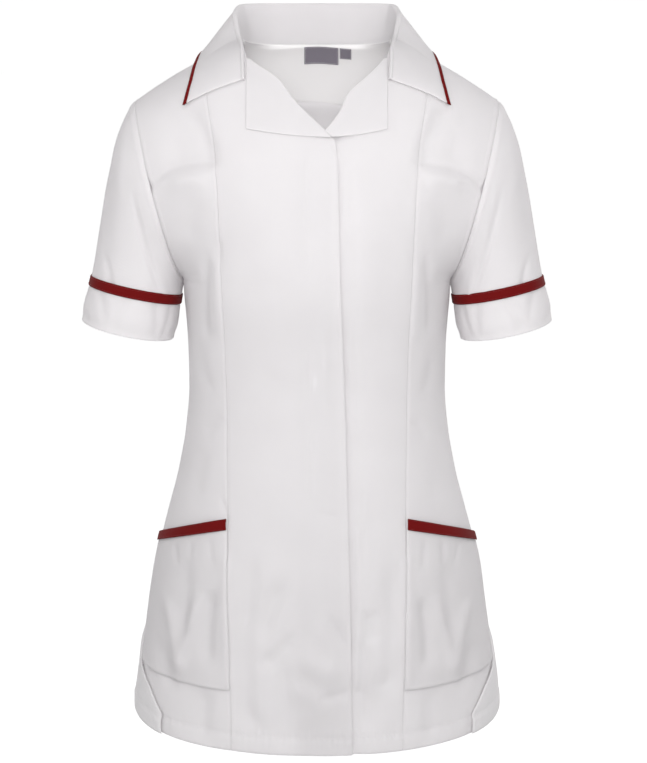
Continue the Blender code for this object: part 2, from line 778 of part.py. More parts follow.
def build_lapels(material):
    lift = SLACK + LAPEL_WALL
    outer, inner = body_layer(lapel_places(*RIGHT_LAPEL_ROLL), lift, LAPEL_WALL)
    shell("lapel_right", mirrored(outer), mirrored(inner), material)
    outer, inner = body_layer(lapel_places(*LEFT_LAPEL_ROLL), lift, LAPEL_WALL)
    shell("lapel_left", outer, inner, material)


# --- Inside the neck --------------------------------------------------------

def neck_row(across):
    """Row of the back neck edge at a distance from the centre."""
    share = share_at("back", 2.0, min(abs(across), NECK_SIDE)) / share_at("back", 2.0, NECK_SIDE)
    return 2.0 - (1.0 - BACK_NECK_ROW) * math.sqrt(max(0.0, 1.0 - share * share))


def label_point(across, down, lift):
    """Point inside the back: distance from the centre and rows under the neck edge."""
    row = neck_row(across) - TOP_SHIFT - down
    point = lifted(row, 2.0 - share_at("back", row, abs(across)), lift)
    return Vector((math.copysign(point.x, across), point.y, point.z))


def build_labels(label):
    clear = 2 * WALL + GAP + SLACK
    for name, (left, right, drop) in (("neck_label", LABEL), ("size_tab", SIZE_TAB)):
        spots = [[(mix(left, right, step), drop / LABEL_ROW_HEIGHT * (1.0 - rise))
                  for step in steps(4)] for rise in steps(3)]
        outer = [[label_point(*spot, -clear) for spot in line] for line in spots]
        inner = [[label_point(*spot, -clear - LABEL_WALL) for spot in line] for line in spots]
        shell(name, outer, inner, label)


# --- Pockets ----------------------------------------------------------------

def pocket_row(step_across, step_down):
    top = mix(POCKET_TOP_IN, POCKET_TOP_OUT, step_across)
    return row_at(mix(top, POCKET_BOTTOM, step_down))


def pocket_places(downs, columns, margin):
    places = []
    for step_down in downs:
        line = []
        for step in steps(columns):
            row = pocket_row(step, step_down)
            inner_end = share_on_line(row, PRINCESS, margin)
            outer_end = side_seam(row) - SEAM_SHARE
            line.append((row, mix(inner_end, outer_end, step)))
        places.append(line)
    return places


def build_pockets(cloth, trim):
    outer, inner = body_layer(pocket_places(steps(6), 8, GAP / 2), SLACK + WALL, WALL)
    pair("pocket", outer, inner, cloth)
    share = TRIM_WIDTH / (POCKET_TOP_IN - POCKET_BOTTOM)
    downs = [mix(-0.1, 1.0, step) * share for step in steps(2)]
    lift = 2 * SLACK + WALL + TRIM_WALL
    outer, inner = body_layer(pocket_places(downs, 8, GAP / 2), lift, TRIM_WALL)
    pair("pocket_trim", outer, inner, trim)


# --- Fastening --------------------------------------------------------------

def build_zip(material):
    """Closed concealed zip: tape, chain and slider in one, under the overlap."""
    step = CHAIN_HALF + CHAIN_STEP
    columns = (-ZIP_HALF, -step, -CHAIN_HALF, CHAIN_HALF, step, ZIP_HALF)
    slack = (CHAIN_WALL - TAPE_WALL) / 2
    outer, inner = [], []
    for row in [row for row in PANEL_ROWS if ZIP_ROWS[0] < row < ZIP_ROWS[1]]:
        outer_line, inner_line = [], []
        for index, column in enumerate(columns):
            chain = index in (2, 3)
            lift = -WALL - GAP - (0.0 if chain else slack)
            wall = CHAIN_WALL if chain else TAPE_WALL
            share = share_at("front", row, ZIP_CENTRE + column)
            outer_line.append(lifted(row, share, lift))
            inner_line.append(lifted(row, share, lift - wall))
        outer.append(outer_line)
        inner.append(inner_line)
    shell("front_zip", outer, inner, material)


# --- The whole tunic --------------------------------------------------------

def make_material(name):
    colour, roughness = MATERIALS[name]
    material = bpy.data.materials.new(name)
    material.use_nodes = True
    surface = material.node_tree.nodes["Principled BSDF"]
    surface.inputs["Base Color"].default_value = colour
    surface.inputs["Roughness"].default_value = roughness
    return material


def main():
    for thing in list(bpy.data.objects):
        bpy.data.objects.remove(thing)
    cloth, trim, label, zip_material = (
        make_material(name) for name in ("cloth", "trim", "label", "zip"))
    build_fronts(cloth)
    build_side_fronts(cloth)
    build_back(cloth)
    build_sleeves(cloth, trim)
    build_collar(cloth, trim)
    build_lapels(cloth)
    build_back_neck_facing(cloth)
    build_labels(label)
    build_pockets(cloth, trim)
    build_zip(zip_material)


main()
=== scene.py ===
import math

import bpy
import numpy as np
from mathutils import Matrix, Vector
from mathutils.bvhtree import BVHTree

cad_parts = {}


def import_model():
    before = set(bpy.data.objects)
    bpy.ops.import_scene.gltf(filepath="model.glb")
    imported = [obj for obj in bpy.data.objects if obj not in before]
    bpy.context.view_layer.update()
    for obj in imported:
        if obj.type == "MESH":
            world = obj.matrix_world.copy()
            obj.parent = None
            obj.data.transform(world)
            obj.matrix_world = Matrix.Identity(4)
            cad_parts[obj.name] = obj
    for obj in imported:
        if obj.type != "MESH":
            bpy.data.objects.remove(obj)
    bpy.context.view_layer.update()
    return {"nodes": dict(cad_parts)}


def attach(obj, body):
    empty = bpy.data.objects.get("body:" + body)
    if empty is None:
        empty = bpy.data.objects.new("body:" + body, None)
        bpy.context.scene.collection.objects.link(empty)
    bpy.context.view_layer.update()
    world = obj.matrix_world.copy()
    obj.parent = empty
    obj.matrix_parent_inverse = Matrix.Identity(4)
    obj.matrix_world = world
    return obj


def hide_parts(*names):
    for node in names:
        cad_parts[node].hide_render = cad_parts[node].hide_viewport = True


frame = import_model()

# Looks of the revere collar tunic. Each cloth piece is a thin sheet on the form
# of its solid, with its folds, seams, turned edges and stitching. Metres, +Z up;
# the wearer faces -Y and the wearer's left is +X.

# --- Sizes shared with the solids ---

CLOTH = 0.0008           # thickness of one shown sheet
TAPE, LABEL_TAPE = 0.0009, 0.0005
SEAM_SHARE = 0.0005      # clearance at a side seam, as a share of a quarter
SEAM = 0.0001            # half the clearance at a princess seam
LAYER = 0.0020           # height of the face of a piece that lies on a panel
TRIM_LAYER = 0.0032

# height, half width, centre front, centre back, dip at the front, dip at the back
SECTIONS = (
    (-0.700, 0.1912, 0.1500, 0.1370, 0.018, 0.010),
    (-0.645, 0.1860, 0.1475, 0.1350, 0.012, 0.007),
    (-0.590, 0.1781, 0.1430, 0.1320, 0.006, 0.003),
    (-0.540, 0.1698, 0.1370, 0.1280, 0.002, 0.001),
    (-0.495, 0.1588, 0.1300, 0.1210, 0.000, 0.000),
    (-0.445, 0.1457, 0.1210, 0.1100, 0.000, 0.000),
    (-0.400, 0.1377, 0.1130, 0.0980, 0.000, 0.000),
    (-0.360, 0.1343, 0.1090, 0.0900, 0.000, 0.000),
    (-0.310, 0.1354, 0.1130, 0.0910, 0.000, 0.000),
    (-0.245, 0.1393, 0.1250, 0.1000, 0.000, 0.000),
)
HEM, UNDERARM = SECTIONS[0][0], SECTIONS[-1][0]
FLAT_SHARE, SIDE_SHARE = 0.62, 0.58
SHOULDER_TIP = np.array((0.1888, 0.0, -0.062))
NECK_SIDE = 0.0774
RIDGE_Y, RIDGE_TOP = 0.005, 0.0173
SHOULDER_BOW = 1.7
ARMHOLE_FRONT, ARMHOLE_BACK, ARMHOLE_FLARE = 0.065, 0.062, 1.6
FRONT_ROUND, BACK_ROUND = 1.0, 0.6
LEANS = ((0.0, 90.0), (0.1, 78.0), (0.25, 58.0), (0.5, 32.0), (0.75, 15.0), (1.0, 0.0))
BACK_NECK_ROW = 0.745

# Seam and edge lines of the front: height, distance from the centre
PRINCESS = (
    (-0.720, 0.0885), (-0.640, 0.0890), (-0.560, 0.0905), (-0.490, 0.0910),
    (-0.360, 0.0925), (-0.290, 0.0945), (-0.200, 0.0985), (-0.145, 0.1005),
    (-0.100, 0.1050), (-0.060, 0.1110), (0.010, 0.1210),
)
RIGHT_EDGE = (
    (-0.720, -0.0365), (-0.600, -0.0345), (-0.420, -0.0300), (-0.350, -0.0280),
    (-0.240, -0.0235), (-0.150, -0.0215), (-0.117, -0.0205), (-0.0985, -0.0180),
    (-0.0900, -0.0070), (-0.017, 0.0714), (0.001, 0.0774),
)
LEFT_EDGE = (
    (-0.720, -0.0190), (-0.120, -0.0180), (-0.1030, -0.0160),
    (-0.0905, 0.0095), (-0.017, 0.0714), (0.001, 0.0774),
)
SIDE_SEAM = (
    (-0.700, 0.880), (-0.640, 0.905), (-0.560, 0.950), (-0.480, 0.990),
    (-0.420, 1.000), (-0.245, 1.000),
)
VENT_EDGE = ((-0.700, 0.605), (-0.680, 0.615), (-0.662, 0.730), (-0.648, 0.880))
VENT_TOP, VENT_FADE, VENT_REACH, VENT_LIFT = -0.650, 0.030, 0.15, 0.0032
UNDERLAP_DROP, UNDERLAP_RAMP = 0.0039, 0.022

# Sleeves
CUFF_CENTRE = np.array((0.1895, -0.002, -0.2570))
SLEEVE_LEAN = math.radians(12)
SLEEVE_AXIS = np.array((math.sin(SLEEVE_LEAN), 0.0, -math.cos(SLEEVE_LEAN)))
CUFF_RINGS = (            # down from the trim, half width, half depth
    (-0.0060, 0.0478, 0.0520), (0.0000, 0.0480, 0.0522), (0.0120, 0.0492, 0.0532),
    (0.0260, 0.0502, 0.0540), (0.0420, 0.0485, 0.0518),
)
CUFF_LENGTH, CUFF_DIP = 0.042, 0.08
TRIM_WIDTH = 0.0098
CAP_TURN = math.radians(22)
SLEEVE_LEAVE, SLEEVE_HANG, ARMHOLE_GAP = 0.24, 0.36, 0.0002

# Collar: fold, seam, lean, fold radius, then the outer edge's side (-1 front),
# distance from the centre, height and lift
COLLAR = (
    (0.0000, 0.0740, 0.0405, 0.0000, 0.0612, -0.0050, 0, 0.0035, 1, 0.000, -0.0330, 0.0050),
    (0.0450, 0.0715, 0.0405, 0.0400, 0.0560, -0.0045, 0, 0.0035, 1, 0.058, -0.0318, 0.0050),
    (0.0800, 0.0530, 0.0390, 0.0680, 0.0330, -0.0020, 0, 0.0035, 1, 0.097, -0.0270, 0.0055),
    (0.0850, 0.0230, 0.0290, 0.0778, 0.0060, 0.0010, 5, 0.0032, 1, 0.1175, -0.0185, 0.0065),
    (0.0810, -0.0050, 0.0085, 0.0775, -0.0060, -0.0010, 25, 0.0026, -1, 0.1230, -0.0260, 0.0050),
    (0.0740, -0.0370, -0.0150, 0.0728, -0.0340, -0.0170, 45, 0.0018, -1, 0.1280, -0.0450, 0.0040),
    (0.0732, -0.0655, -0.0420, 0.0726, -0.0625, -0.0425, 55, 0.0016, -1, 0.1335, -0.0655, 0.0035),
)
FALL_START, FALL_END, FALL_BOW = 0.34, 0.35, 0.12
COLLAR_CLEAR, COLLAR_CLOTH = 0.0034, 0.0014
PIPING_WIDTH, PIPING_DEPTH = 0.0047, 0.0024

# Revers
LAPEL_TOP = (0.0690, -0.0190)
LAPEL_OUTER, LAPEL_CORNER = 0.0706, -0.0880
RIGHT_LAPEL_ROLL = ((-0.0070, -0.0895), (-0.0125, -0.0965), -0.040)
LEFT_LAPEL_ROLL = ((0.0095, -0.0905), (0.0160, -0.0960), -0.052)
ROLL_RADIUS, ROLL_BOW = 0.0018, 0.0072

# Inside the neck, pockets
FACING_LOW = (-0.0595, -0.0700)   # height of its lower edge at both sides
LABEL, SIZE_TAB = (-0.0134, 0.0226, 0.0200), (0.0245, 0.0364, 0.0130)
LABEL_ROW_HEIGHT = 0.21
POCKET_TOP_IN, POCKET_TOP_OUT, POCKET_BOTTOM = -0.4830, -0.5160, -0.6430
TOP_SHIFT = 0.0006       # rows short of the shoulder seam by half its gap

# --- Camera ---

camera_data = bpy.data.cameras.new("camera")
camera_data.sensor_fit = "VERTICAL"
camera_data.sensor_height = 36.0
camera_data.lens = 112.954
camera = bpy.data.objects.new("camera", camera_data)
camera.location = (0.006825, -2.5, -0.02596)
camera.rotation_euler = (math.radians(90 - 7.5), 0.0, 0.0)
bpy.context.scene.collection.objects.link(camera)
bpy.context.scene.camera = camera


# --- Small helpers ---

def mix(low, high, share):
    return low + (high - low) * share


def smooth(share):
    share = np.clip(share, 0.0, 1.0)
    return share * share * (3.0 - 2.0 * share)


def bell(distance, width):
    """Soft rise from 0 to 1 and back, about twice the width across."""
    return np.exp(-(distance / width) ** 2)


def bezier(t, start, after_start, before_end, end):
    rest = 1.0 - t
    return (rest ** 3 * start + 3 * rest ** 2 * t * after_start
            + 3 * rest * t ** 2 * before_end + t ** 3 * end)


def curve(table, key, column=1, curved=True):
    """A column's values at some keys, on a curve through the table's rows."""
    rows = np.array(table, float)
    keys, values = rows[:, 0], rows[:, column]
    if not curved:
        return np.interp(key, keys, values)
    widths = np.diff(keys)
    rates = np.diff(values) / widths
    slopes = np.zeros(len(keys))
    before, after = rates[:-1], rates[1:]
    same = before * after > 0.0
    slopes[1:-1][same] = 2.0 * before[same] * after[same] / (before + after)[same]
    key = np.clip(key, keys[0], keys[-1])
    at = np.clip(np.searchsorted(keys, key, "right") - 1, 0, len(keys) - 2)
    t = (key - keys[at]) / widths[at]
    return ((2 * t ** 3 - 3 * t ** 2 + 1) * values[at]
            + (t ** 3 - 2 * t ** 2 + t) * widths[at] * slopes[at]
            + (3 * t ** 2 - 2 * t ** 3) * values[at + 1]
            + (t ** 3 - t ** 2) * widths[at] * slopes[at + 1])


def unit(vectors):
    return vectors / np.maximum(np.linalg.norm(vectors, axis=-1, keepdims=True), 1e-12)


def halve(low, high, steps, before):
    """Where a test stops to hold between two arrays, by halving."""
    for _ in range(steps):
        middle = (low + high) / 2
        still = before(middle)
        low, high = np.where(still, middle, low), np.where(still, high, middle)
    return (low + high) / 2


def run_lengths(line):
    """Distance of each point of a line from its start."""
    return np.r_[0.0, np.cumsum(np.linalg.norm(np.diff(line, axis=0), axis=1))]


def along(places, lengths, points):
    """Points of a line at some distances from its start."""
    return np.stack([np.interp(places, lengths, points[:, axis]) for axis in range(3)], axis=-1)


def turned(grid):
    return np.swapaxes(grid, 0, 1)


def mirrored(points):
    return points * np.array((-1.0, 1.0, 1.0))


SIDES = ((1, "left", lambda points: points, slice(None)),
         (-1, "right", mirrored, slice(None, None, -1)))


def raised(points, normals, lift):
    return points + normals * lift[..., None]


def normals_of(grid, wrap=False):
    """Unit normals of a grid of points: columns run along i, rows along j."""
    if wrap:
        padded = np.concatenate((grid[:, -2:], grid, grid[:, :2]), axis=1)
        across = np.gradient(padded, axis=1)[:, 2:-2]
    else:
        across = np.gradient(grid, axis=1)
    return unit(np.cross(across, np.gradient(grid, axis=0)))


# --- The body's surface ---
#
# A row is numbered 0 at the hem, 1 at the underarm and 2 at the shoulder seam.
# Round a row, 0 is the centre front, 1 the side or armhole, 2 the centre back;
# the wearer's right has negative numbers.

def armhole(row):
    rise = np.clip(row - 1.0, 0.0, 1.0)
    turn = np.pi * (1.0 - rise)
    middle, half = (SHOULDER_TIP[2] + UNDERARM) / 2, (SHOULDER_TIP[2] - UNDERARM) / 2
    flare = np.sin(np.pi / 2 * rise) ** ARMHOLE_FLARE
    width = mix(SECTIONS[-1][1], SHOULDER_TIP[0], flare)
    return width, np.sin(turn), middle + half * np.cos(turn)


def quarter(front, row, share):
    """Points on the front or the back quarter at arrays of rows and shares."""
    sign = -1.0 if front else 1.0
    column = 2 if front else 3
    below = row <= 1.0
    height = mix(HEM, UNDERARM, np.minimum(row, 1.0))
    low_depth = curve(SECTIONS, height, column)
    width, reach, up_height = armhole(row)
    rise = np.clip(row - 1.0, 0.0, 1.0)
    bow = np.maximum(0.0, np.cos(np.pi / 2 * rise)) ** (FRONT_ROUND if front else BACK_ROUND)
    start = np.where(below, sign * low_depth, mix(RIDGE_Y, sign * SECTIONS[-1][column], bow))
    end_x = np.where(below, curve(SECTIONS, height, 1), width)
    end_y = np.where(below, 0.0, sign * reach * (ARMHOLE_FRONT if front else ARMHOLE_BACK))
    angle = np.radians(np.where(below, 90.0, curve(LEANS, rise)))
    span = np.abs(end_y - start)
    handle = SIDE_SHARE * (end_x * np.cos(angle) ** 2 + span * np.sin(angle) ** 2)
    x = bezier(np.abs(share), 0.0, FLAT_SHARE * end_x, end_x - np.cos(angle) * handle, end_x)
    y = bezier(np.abs(share), start, start, end_y + sign * np.sin(angle) * handle, end_y)
    low_z = mix(height - curve(SECTIONS, height, column + 2), height,
                1.0 - (y - end_y) / np.where(start == end_y, 1.0, start - end_y))
    ridge = UNDERARM + (RIDGE_TOP - UNDERARM) * np.sin(np.pi / 2 * rise)
    high_z = mix(ridge, up_height, (x / end_x) ** SHOULDER_BOW)
    return np.stack((np.copysign(x, share), y, np.where(below, low_z, high_z)), axis=-1)


MASTER_ROWS, MASTER_SHARES = 401, 193


def master(front):
    """Points and normals of one side on a fine grid, eased where the armhole starts."""
    row, share = np.meshgrid(np.linspace(0, 2, MASTER_ROWS), np.linspace(-1, 1, MASTER_SHARES),
                             indexing="ij")
    points = quarter(front, row, share)
    eased = points.copy()
    for _ in range(60):
        eased[1:-1] = 0.25 * eased[:-2] + 0.5 * eased[1:-1] + 0.25 * eased[2:]
    near = bell(row - 1.0, 0.10)[..., None] * np.array((0.0, 1.0, 0.0))
    points = mix(points, eased, near)
    normals = normals_of(points)
    return points, normals if front else -normals


MASTERS = (master(True), master(False))


def sample(row, around):
    """Points and normals of the body at rows and places round them."""
    row, around = np.broadcast_arrays(np.asarray(row, float), np.asarray(around, float))
    results = []
    for (points, normals), share in zip(
            MASTERS, (np.clip(around, -1, 1), np.copysign(2.0 - np.abs(around), around))):
        i = np.clip(row / 2 * (MASTER_ROWS - 1), 0, MASTER_ROWS - 1.0001)
        j = np.clip((share + 1) / 2 * (MASTER_SHARES - 1), 0, MASTER_SHARES - 1.0001)
        low_i, low_j = i.astype(int), j.astype(int)
        ti, tj = (i - low_i)[..., None], (j - low_j)[..., None]
        both = []
        for field in (points, normals):
            both.append(mix(mix(field[low_i, low_j], field[low_i, low_j + 1], tj),
                            mix(field[low_i + 1, low_j], field[low_i + 1, low_j + 1], tj), ti))
        results.append(both)
    front = (np.abs(around) <= 1.0)[..., None]
    points = np.where(front, results[0][0], results[1][0])
    return points, unit(np.where(front, results[0][1], results[1][1]))


def share_at(front, row, across):
    """Share round a quarter where it lies a given distance from the centre."""
    share = halve(np.zeros_like(across), np.ones_like(across), 26,
                  lambda share: quarter(front, row, share)[..., 0] < np.abs(across))
    return np.copysign(share, across)


def place_at(front, across, height):
    """Row and share of a quarter at distances and heights seen from the front."""
    across, height = np.broadcast_arrays(np.asarray(across, float), np.asarray(height, float))
    row = halve(np.zeros_like(across), np.full_like(across, 2.0), 22, lambda row: quarter(
        front, row, share_at(front, row, across))[..., 2] < height)
    return row, share_at(front, row, across)


def share_on_line(row, line, shift=0.0):
    """Share round the front where a line drawn from the front crosses rows."""
    def before(share):
        point = quarter(True, row, share)
        return point[..., 0] < curve(line, point[..., 2], curved=False) + shift
    return halve(-np.ones_like(row), np.ones_like(row), 28, before)


def row_at(height):
    return (height - HEM) / (UNDERARM - HEM)


def side_seam(row):
    return np.where(row > 1.0, 1.0, curve(SIDE_SEAM, mix(HEM, UNDERARM, np.minimum(row, 1.0))))


# --- Folds ---
#
# A fold runs from one point to another in millimetres: across and height at its
# start and end, sideways bow, half width on each side, depth (minus is a ridge).

FRONT_FOLDS = (
    # wearer's right: bust
    (-98, -121, -150, -130, 3, 6, 26, 2), (-96, -122, -152, -132, 3, 8, 46, 2.6),
    (-100, -122, -146, -128, 2.5, 2.4, 5, 1), (-112, -140, -146, -143, 3, 9, 7, -1.4),
    (-141, -125, -177, -161, 4, 3.2, 8, 2.7), (-105, -137, -153, -146, 3, 10, 12, -2.2),
    (-132, -66, -104, -121, -3, 9.6, 12, 4), (-137, -58, -132, -118, 0, 20, 20, 2.4),
    (-119, -158, -130, -201, 3, 11, 14, 2.2), (-98, -199, -99, -223, 0, 4, 5, 1.2),
    (-111, -216, -113, -301, 2, 5, 6, 2.1), (-126, -230, -123, -294, -2, 7, 7, 1.4),
    (-101, -221, -99, -301, 0, 4.5, 4.5, -1.1), (-68, -192, -66, -293, 3, 15, 15, 1.4),
    (-74, -109, -79, -163, 0, 14, 14, -1.1),
    # waist
    (-119, -317, -108, -357, 3, 6, 7, 1.8), (-97, -381, -114, -402, 2, 6, 7, 1.6),
    (-97, -461, -91, -484, 0, 2.5, 3, 1.3), (-115, -421, -124, -465, 2, 7, 8, 1.6),
    # skirt
    (-33, -541, -56, -601, 3, 9.2, 10.3, 4.4), (-24, -595, -57, -629, -2, 7.5, 9.2, 3.6),
    (-17, -582, -5, -598, 0, 8, 9, 0.8), (4, -572, 34, -626, -7, 7, 9, 2.3),
    (18, -586, 26, -606, 0, 7, 8, 0.8), (0, -660, 33, -652, 1, 4.5, 5, 1.9),
    (-18, -614, 24, -635, 2, 13.2, 14.3, -4), (-65, -520, -71, -700, 4, 11, 12, 3.3),
    (-38, -619, -34, -703, -3, 9.9, 12.1, 3), (-3, -471, 23, -476, 1, 3, 3.5, 0.8),
    # side and pocket
    (-91, -518, -91, -653, 1, 4.5, 5, -1.9), (-106, -557, -110, -628, 2, 6.5, 7, 4.5),
    (-154, -569, -139, -644, -2, 6, 7, -3.5), (-118, -561, -138, -641, 2, 6, 6, -3.1),
    (-132, -528, -136, -608, 0, 7, 8, 2.7), (-158, -615, -149, -662, 2, 7.7, 8.8, 3.4),
    (-113, -655, -116, -709, 2, 8.8, 9.9, 3.6), (-146, -514, -143, -536, 0, 3, 3, 1.5),
    (-127, -508, -129, -527, 0, 3, 3.5, 1.3), (-108, -503, -104, -532, 1, 3, 3.5, 1.5),
    # marks of the fastening under the overlap
    (-8, -115, -8, -152, 0.3, 1.6, 2.2, -0.6), (-9, -158, -9, -180, 0, 1.6, 2.2, -0.5),
    (-9, -197, -8, -225, 0, 1.6, 2.2, -0.6), (-8, -310, -7, -355, -0.3, 1.6, 2.2, -0.6),
    (-6, -392, -4, -459, 0.3, 1.6, 2.2, -0.5), (14, -97, 20, -114, 0, 1.4, 1.2, 0.8),
    # wearer's left: bust
    (98, -122, 149, -131, -3, 24, 6, 1.9), (96, -123, 151, -133, -3, 44, 8, 2.5),
    (100, -123, 145, -129, -2.5, 5, 2.4, 0.9), (112, -141, 145, -144, -3, 7, 9, -1.3),
    (139, -126, 176, -160, -4, 8, 3.2, 2.9), (105, -138, 151, -147, -3, 12, 10, -2.1),
    (132, -68, 105, -119, 3, 12, 9.6, 3.6), (136, -58, 132, -116, 0, 20, 20, 2.2),
    (120, -160, 132, -199, -3, 14, 11, 2.1), (111, -216, 115, -297, -2, 6, 5, 1.9),
    (127, -232, 123, -292, 2, 7, 7, 1.4), (101, -223, 100, -303, 0, 4.5, 4.5, -1.1),
    (68, -194, 67, -289, -3, 15, 15, 1.2), (75, -111, 80, -164, 0, 14, 14, -0.9),
    # waist
    (119, -319, 109, -361, -3, 7, 6, 1.8), (97, -383, 113, -404, -2, 7, 6, 1.4),
    (116, -424, 124, -467, -2, 8, 7, 1.6),
    # skirt
    (53, -571, 56, -603, 0, 9.9, 7.7, 3.5), (47, -599, 50, -692, 2, 8.8, 6.6, 3.7),
    (76, -527, 72, -661, -3, 11, 9.9, 3.2), (64, -636, 56, -704, 3, 11, 9.9, 2.7),
    # beside the overlap
    (27, -126, 28, -193, 0, 3, 2.4, -0.8), (33, -276, 36, -402, 0, 4, 3.4, -1.1),
    (36, -406, 37, -456, 0, 4, 3, -0.8), (41, -487, 43, -652, 0, 4.5, 4, -1.7),
    (22, -124, 28, -119, 0, 1.4, 1.2, 0.8),
    # side and pocket
    (91, -518, 91, -651, -1, 5, 4.5, -1.9), (107, -563, 111, -632, -2, 7, 6.5, 4.2),
    (155, -574, 139, -645, 2, 7, 6, -3.5), (119, -563, 137, -639, -2, 6, 6, -2.8),
    (132, -528, 135, -604, 0, 8, 7, 2.4), (158, -617, 149, -662, -2, 8.8, 7.7, 3.1),
    (113, -657, 116, -709, -2, 9.9, 8.8, 3.3), (145, -514, 142, -533, 0, 3, 3, 1.3),
    (127, -508, 129, -531, 0, 3.5, 3, 1.5), (109, -503, 106, -534, -1, 3.5, 3, 1.3),
    # hollow above the hem
    (-136, -716, 136, -716, -14, 46, 46, 2.6), (-128, -640, -132, -712, 2, 12, 14, 1.8),
    (129, -644, 131, -712, -2, 13, 12, 1.7),
    # soft unevenness on both sides
    (-58, -560, -92, -648, 6, 10, 14, 2.4), (-30, -648, 12, -676, -6, 9, 13, -2.2),
    (-78, -660, -44, -700, 5, 9, 11, 1.8), (36, -640, 78, -676, 6, 9, 12, 1.6),
    (84, -590, 62, -640, -5, 10, 12, -1.5), (-2, -690, -40, -712, 3, 7, 9, 1.3),
    (-52, -470, -30, -530, 4, 14, 16, 1.3), (58, -470, 40, -520, -4, 12, 14, 1.1),
    (-60, -330, -20, -350, 5, 12, 16, 1.1), (60, -340, 24, -352, -5, 12, 15, 0.9),
    (-36, -236, -60, -262, 4, 12, 14, 0.9),
)
BACK_FOLDS = (
    # waist darts, with the cloth standing a little beside the seam
    (-72, -150, -66, -350, 0, 1.1, 1.1, 1.2), (-66, -350, -70, -545, 0, 1.1, 1.1, 1.2),
    (72, -150, 66, -350, 0, 1.1, 1.1, 1.2), (66, -350, 70, -545, 0, 1.1, 1.1, 1.2),
    (-76, -150, -70, -350, 0, 2.2, 3.5, -0.8), (-70, -350, -74, -545, 0, 2.2, 3.5, -0.8),
    (76, -150, 70, -350, 0, 3.5, 2.2, -0.8), (70, -350, 74, -545, 0, 3.5, 2.2, -0.8),
    (-72, -118, -71, -152, 1, 7, 8, 2.2), (72, -120, 71, -152, -1, 7, 8, 2.2),
    # drags between the shoulder blades and the armholes
    (-164, -196, -104, -132, -5, 6, 11, 3.3), (166, -190, 108, -140, 5, 6, 11, 3.1),
    (-158, -226, -108, -196, -3, 6, 9, 2.4), (160, -220, 112, -190, 3, 6, 9, 2.2),
    (-40, -70, 44, -76, -6, 6, 12, 2.4), (-22, -112, 12, -116, 2, 10, 14, 1.8),
    (-20, -150, -14, -260, 3, 16, 18, 2), (28, -140, 22, -250, -3, 16, 18, -1.8),
    # hollow of the waist
    (-118, -336, -30, -322, 6, 7, 12, 3.3), (112, -322, 34, -336, -6, 7, 12, 3.1),
    (-50, -366, 58, -360, 5, 6, 11, 2.6), (-104, -392, -54, -372, -4, 6, 9, 2),
    (96, -372, 50, -390, 4, 6, 9, 2), (-34, -296, 30, -304, 3, 7, 12, 1.8),
    # flutes of the skirt
    (-128, -512, -136, -700, 4, 11, 14, 4), (-88, -556, -96, -712, -3, 9, 12, 3.1),
    (-34, -500, -40, -712, 4, 13, 15, 4), (18, -560, 24, -712, -3, 10, 13, 3.3),
    (62, -540, 58, -712, 3, 12, 12, -2.9), (100, -520, 110, -708, -4, 11, 14, 4),
    (146, -540, 152, -690, 2, 9, 11, 2.6), (-8, -470, -12, -610, 0, 14, 16, -2.6),
    (-60, -640, -62, -712, 2, 8, 9, -2.2),
)
# Round the sleeve from its outer side (front is positive) and down from the
# armhole, both in millimetres; the cuff's heights go on from the sleeve's
SLEEVE_FOLDS = (
    (28, 148, 44, 178, 2, 5, 6, 1.8), (52, 162, 40, 186, -2, 4, 5, 1.3),
    (10, 60, 24, 150, 5, 12, 14, 1.3), (62, 36, 92, 92, -4, 7, 9, 1.7), (84, 96, 104, 150, 3, 7, 9, 1.6),
    (104, 60, 74, 120, 4, 9, 10, -1.3), (36, 20, 40, 74, 0, 9, 9, -1), (78, 150, 96, 184, 2, 6, 7, 1.2),
    (-30, 130, -48, 182, -3, 7, 8, 1.7), (-62, 60, -88, 130, 4, 9, 11, 1.8),
    (-98, 110, -74, 172, -3, 7, 9, 1.6), (-20, 30, -36, 100, 3, 12, 13, -1.3),
    (-110, 80, -128, 140, 3, 8, 9, 1.4), (128, 96, 112, 166, -3, 8, 9, 1.4),
)
CUFF_FOLDS = (
    (26, 2, 42, 36, 2, 4, 5, 1.7), (60, 4, 48, 40, -2, 5, 6, 1.9), (14, 30, 22, 42, 0, 4, 5, 1.1),
    (88, 0, 98, 38, 1, 6, 7, 1.5), (-34, 2, -26, 40, -2, 5, 6, 1.7), (-76, 0, -92, 38, 2, 6, 7, 1.9),
    (-58, 10, -52, 42, 0, 5, 6, -1.1), (118, 4, 110, 40, 0, 6, 7, 1.3),
)


def relief(across, height, folds):
    """Height of the folds, in metres, at places in metres."""
    across, height = across * 1000, height * 1000
    total = np.zeros(across.shape)
    for x0, z0, x1, z1, bow, left, right, depth in folds:
        length = math.hypot(x1 - x0, z1 - z0)
        ux, uz = (x1 - x0) / length, (z1 - z0) / length
        t = ((across - x0) * ux + (height - z0) * uz) / length
        off = (across - x0) * uz - (height - z0) * ux - bow * 4 * t * (1 - t)
        body = bell(off, np.where(off < 0, left, right))
        reach = min(0.15, max(left, right) / length)
        ends = smooth((t + reach) / (3 * reach)) * smooth((1 + reach - t) / (3 * reach))
        total -= depth * body * ends
    return total / 1000


def ripple(a, b, scale, seed):
    """Small smooth unevenness from a few crossing waves."""
    rng = np.random.default_rng(seed)
    total = np.zeros(np.broadcast(a, b).shape)
    for _ in range(7):
        angle, phase = rng.uniform(0, np.pi), rng.uniform(0, 2 * np.pi)
        pitch = scale * rng.uniform(0.6, 1.6)
        total += np.sin((a * np.cos(angle) + b * np.sin(angle)) * 2 * np.pi / pitch + phase)
    return total / 7


# --- Meshes from grids ---

